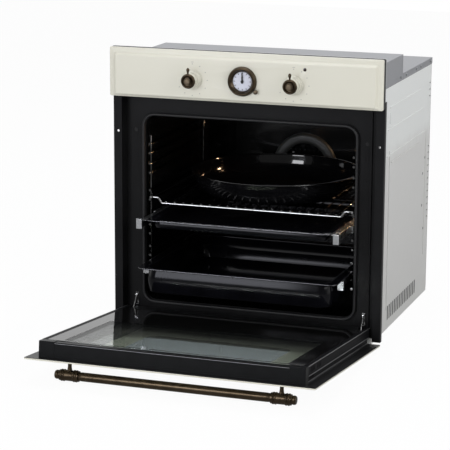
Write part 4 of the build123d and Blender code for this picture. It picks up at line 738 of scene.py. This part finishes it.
# Thin light strips along the profiles' edges and ledges: painted highlights.
highlight_strips = []
for side in (-1, 1):
    highlight_strips.append(door_block(sorted((side * 271.6, side * 272.9)), (2, 446), (36.4, 37.4)))
    highlight_strips.append(door_block(sorted((side * 271.4, side * 273.3)), (2, 444), (17.4, 18.4)))
highlight_strips.append(door_block((-239.8, 239.8), (462.8, 463.3), (33.2, 34.0)))
for side in (-1, 1):
    highlight_strips.append(door_block(sorted((side * 268.2, side * 269.2)), (4, 440), (4.4, 5.2)))
piece("profile_highlight_strips", highlight_strips, "highlight_alloy", "door")
# Thin bright strips where the end caps meet the top profile: painted highlights.
cap_edge_highlights = [door_block(sorted((side * 240.0, side * 240.8)), (462.9, 463.5), (5, 35.4)) for side in (-1, 1)]
piece("cap_edge_highlights", cap_edge_highlights, "painted_highlight_enamel", "door")

# Front frame details: the shelf levels' numbers, each with a dot

LEVEL_HEIGHTS = (136.0, 171.0, 219.0, 292.5, 352.5, 396.0)
level_dots = []
for number, height in enumerate(LEVEL_HEIGHTS):
    letter = bpy.data.curves.new("level_number", "FONT")
    letter.body = str(number + 1)
    letter.size = 0.0125
    letter.extrude = 0.00022
    letter.bevel_depth = 0.00008
    letter.align_x = "CENTER"
    letter.align_y = "CENTER"
    letter.materials.append(finishes["black_enamel"])
    mark = bpy.data.objects.new("level_number_" + str(number + 1), letter)
    mark.rotation_euler = (math.radians(90), 0, 0)
    mark.location = Vector((253.0, FRAME_Y, height - 2)) * MM
    scene.collection.objects.link(mark)
    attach(mark, "housing")
    dot = [(1.1, 0), (1.0, 0.35), (0.5, 0.5), (0, 0.52)]
    level_dots.append(lathe(dot, (260, -248, height + 4), steps=16))
piece("level_dots", level_dots, "black_enamel", "housing")


# Casing sides: dark plates behind the slots as painted shade, and on the outside seam lines, with dark
# louvres and screw holes as painted shade

SHADES = (((-112, 139), (17, 54)), ((233, 245.6), (175, 347)), ((233, 245.6), (456, 492)))
SEAMS = (((-242, 249), (531.1, 531.9)), ((247.6, 248.4), (8, 530)))
SCREW_HOLES = ((206, 322), (188, 288), (187, 214), (204, 157), (-205, 330))
LOUVRE_START, LOUVRE_PITCH, LOUVRE_HALF, LOUVRE_Z = -108, 15.2, 3.6, (20, 51)
shades, seams_and_painted_shade = [], []
for side in (-1, 1):
    inner_x = sorted((side * 268.9, side * 269.5))
    shades += [block(inner_x, y, z, 0.2) for y, z in SHADES]
    seam_x = sorted((side * 270.7, side * 270.95))
    seams_and_painted_shade += [block(seam_x, y, z, 0.1) for y, z in SEAMS]
    # Painted shade: thin dark plates over the louvre slots and dark discs on the screw holes.
    louvre_x = sorted((side * 270.7, side * 270.9))
    for step in range(17):
        middle = LOUVRE_START + LOUVRE_PITCH * step
        seams_and_painted_shade.append(block(louvre_x, (middle - LOUVRE_HALF, middle + LOUVRE_HALF), LOUVRE_Z, 0.1))
    for y, z in SCREW_HOLES:
        hole = [(0, 0), (3.0, 0), (3.0, 0.2), (0, 0.2)]
        seams_and_painted_shade.append(lathe(hole, (side * 270.75, y, z), (side, 0, 0), 16))
piece("louvre_painted_shade", shades, "print_black", "housing")
piece("side_seams_and_painted_shade", seams_and_painted_shade, "black_trim", "housing")

# Hinge levers: bent steel levers with an eye and a roller, and their boxes behind the frame

LEVER_X, PIVOT = 255, (-270, 30)
SPINE = ((-206, 58.5), (-242, 58.5), (-249.0, 59.5), (-254.0, 51), (-262, 40.5), PIVOT)
EYE = ((4.05, -1.5), (7.4, -1.5), (7.4, 1.5), (4.05, 1.5))
ROLLER = ((0, -3.4), (2.2, -3.4), (2.2, -2.2), (3.6, -2.0), (3.6, 2.0), (2.2, 2.2), (2.2, 3.4), (0, 3.4))
levers = []
for side in (-1, 1):
    spine = [Vector((side * LEVER_X, y, z)) for y, z in eased(SPINE, 9.0, 6)]
    loops = []
    for index, point in enumerate(spine):
        along = (spine[min(index + 1, len(spine) - 1)] - spine[max(index - 1, 0)]).normalized()
        across = Vector((1, 0, 0)).cross(along)
        section = rounded((-1.5, 1.5), (-5.0, 5.0), 0.9, 3)
        loops.append([point + Vector((x, 0, 0)) + across * high for x, high in section])
    levers.append(loft(loops, start=True, end=True))
    levers.append(lathe(eased(EYE, 0.5, 2), (side * LEVER_X, *PIVOT), (1, 0, 0), 32))
    levers.append(lathe(eased(ROLLER, 0.4, 2), (side * LEVER_X, -250.4, 64.5), (1, 0, 0), 24))
    levers.append(block(sorted((side * 249.5, side * 260.5)), (-246.4, -200), (40, 78), 1.2))
piece("hinge_levers", levers, "lever_steel", "housing", ["hinge_arms"])


# Camera, floor and light

LENS, SENSOR = 155.08, 36.0
CAMERA_PLACE = (1.2631, -4.0482, 1.1358)
CAMERA_TURN, CAMERA_DROP, CAMERA_LEAN = 19.103, 12.639, 0.281
camera = bpy.data.objects.new("camera", bpy.data.cameras.new("camera"))
scene.collection.objects.link(camera)
camera.data.sensor_width = SENSOR
camera.data.lens = LENS
camera.data.clip_end = 50.0
turn = Matrix.Rotation(math.radians(CAMERA_TURN), 4, "Z")
tip = Matrix.Rotation(math.radians(90 - CAMERA_DROP), 4, "X")
lean = Matrix.Rotation(math.radians(CAMERA_LEAN), 4, "Z")
camera.matrix_world = Matrix.Translation(CAMERA_PLACE) @ turn @ tip @ lean
scene.camera = camera

WHITE = (1, 1, 1, 1)


def seen_directly(tree):
    """The ray's kind, and the share of rays that go straight from the camera, also through glass."""
    ray = add_node(tree, "ShaderNodeLightPath")
    direct = add_node(tree, "ShaderNodeMath", operation="MAXIMUM")
    tree.links.new(ray.outputs["Is Camera Ray"], direct.inputs[0])
    tree.links.new(ray.outputs["Is Transmission Ray"], direct.inputs[1])
    return ray, direct.outputs[0]


# The floor is plain paper, nearly white to the camera and dull to mirrors.
FLOOR_REACH = 6.0
floor = bpy.data.objects.new("floor", bpy.data.meshes.new("floor"))
corners = [(x * FLOOR_REACH, y * FLOOR_REACH, 0) for x, y in ((-1, -1), (1, -1), (1, 1), (-1, 1))]
floor.data.from_pydata(corners, [], [(0, 1, 2, 3)])
scene.collection.objects.link(floor)
paper = Finish("paper", (0.95, 0.95, 0.95), 0.9)
ray, direct = seen_directly(paper.tree)
dull = paper.node("ShaderNodeEmission", {"Strength": 0.35})
mirrored = mix_shaders(paper.tree, ray.outputs["Is Glossy Ray"], paper.shader.outputs[0], dull.outputs[0])
shown = paper.node("ShaderNodeEmission", {"Strength": 1.0, "Color": WHITE})
share = paper.node("ShaderNodeMath", {1: 0.95}, operation="MULTIPLY")
paper.link(direct, share.inputs[0])
paper.surface(mix_shaders(paper.tree, share.outputs[0], mirrored, shown.outputs[0]))
floor.data.materials.append(paper.material)

# The world is white to the camera, soft light to surfaces, and to mirrors a room with a darker front.
world = bpy.data.worlds.new("world")
scene.world = world
world.use_nodes = True
tree = world.node_tree
sky = tree.nodes["Background"]
sky.inputs["Color"].default_value = (0.97, 0.98, 1.0, 1)
sky.inputs["Strength"].default_value = 0.55
white = add_node(tree, "ShaderNodeBackground", {"Color": WHITE, "Strength": 1.0})
room = add_node(tree, "ShaderNodeBackground", {"Color": WHITE})
ray, direct = seen_directly(tree)
heading = add_node(tree, "ShaderNodeTexCoord")
parts = add_node(tree, "ShaderNodeSeparateXYZ")
dimming = add_node(tree, "ShaderNodeMapRange",
                   {"From Min": -0.5, "From Max": 0.0, "To Min": 0.15, "To Max": 1.0})
tree.links.new(heading.outputs["Generated"], parts.inputs["Vector"])
tree.links.new(parts.outputs["Y"], dimming.inputs["Value"])
tree.links.new(dimming.outputs["Result"], room.inputs["Strength"])
mirrored = mix_shaders(tree, ray.outputs["Is Glossy Ray"], sky.outputs[0], room.outputs[0])
choice = mix_shaders(tree, direct, mirrored, white.outputs[0])
tree.links.new(choice, tree.nodes["World Output"].inputs["Surface"])

# Per light: its place, what it aims at, its sides, power and colour
SOFT_LIGHTS = {
    "key_light": ((-0.85, -3.3, 1.3), (0, 0, 0.3), (1.0, 0.75), 22.5, (0.96, 0.97, 1.0)),
    "fill_light": ((2.8, -1.4, 1.6), (0, 0, 0.3), (1.6, 1.6), 22, (1, 1, 1)),
    "top_light": ((0, 0.2, 2.8), (0, 0, 0.5), (2.0, 2.0), 26, (0.93, 0.94, 1.0)),
    "low_window": ((-1.1, -3.3, 0.48), (0, -0.3, 0.13), (0.7, 0.5), 6.4, (0.88, 0.9, 1.0)),
}
for name, (place, aim, sides, power, colour) in SOFT_LIGHTS.items():
    light = bpy.data.objects.new(name, bpy.data.lights.new(name, "AREA"))
    light.data.shape = "RECTANGLE"
    light.data.size, light.data.size_y = sides
    light.data.energy = power
    light.data.color = colour
    light.location = place
    light.rotation_euler = (Vector(aim) - Vector(place)).to_track_quat("-Z", "Y").to_euler()
    scene.collection.objects.link(light)
oven_lamp = bpy.data.objects.new("oven_lamp", bpy.data.lights.new("oven_lamp", "POINT"))
oven_lamp.data.energy = 0.7
oven_lamp.data.color = (1.0, 0.62, 0.35)
oven_lamp.data.shadow_soft_size = 0.012
oven_lamp.location = (0.195, 0.165, 0.425)
scene.collection.objects.link(oven_lamp)

scene.view_settings.view_transform = "Standard"
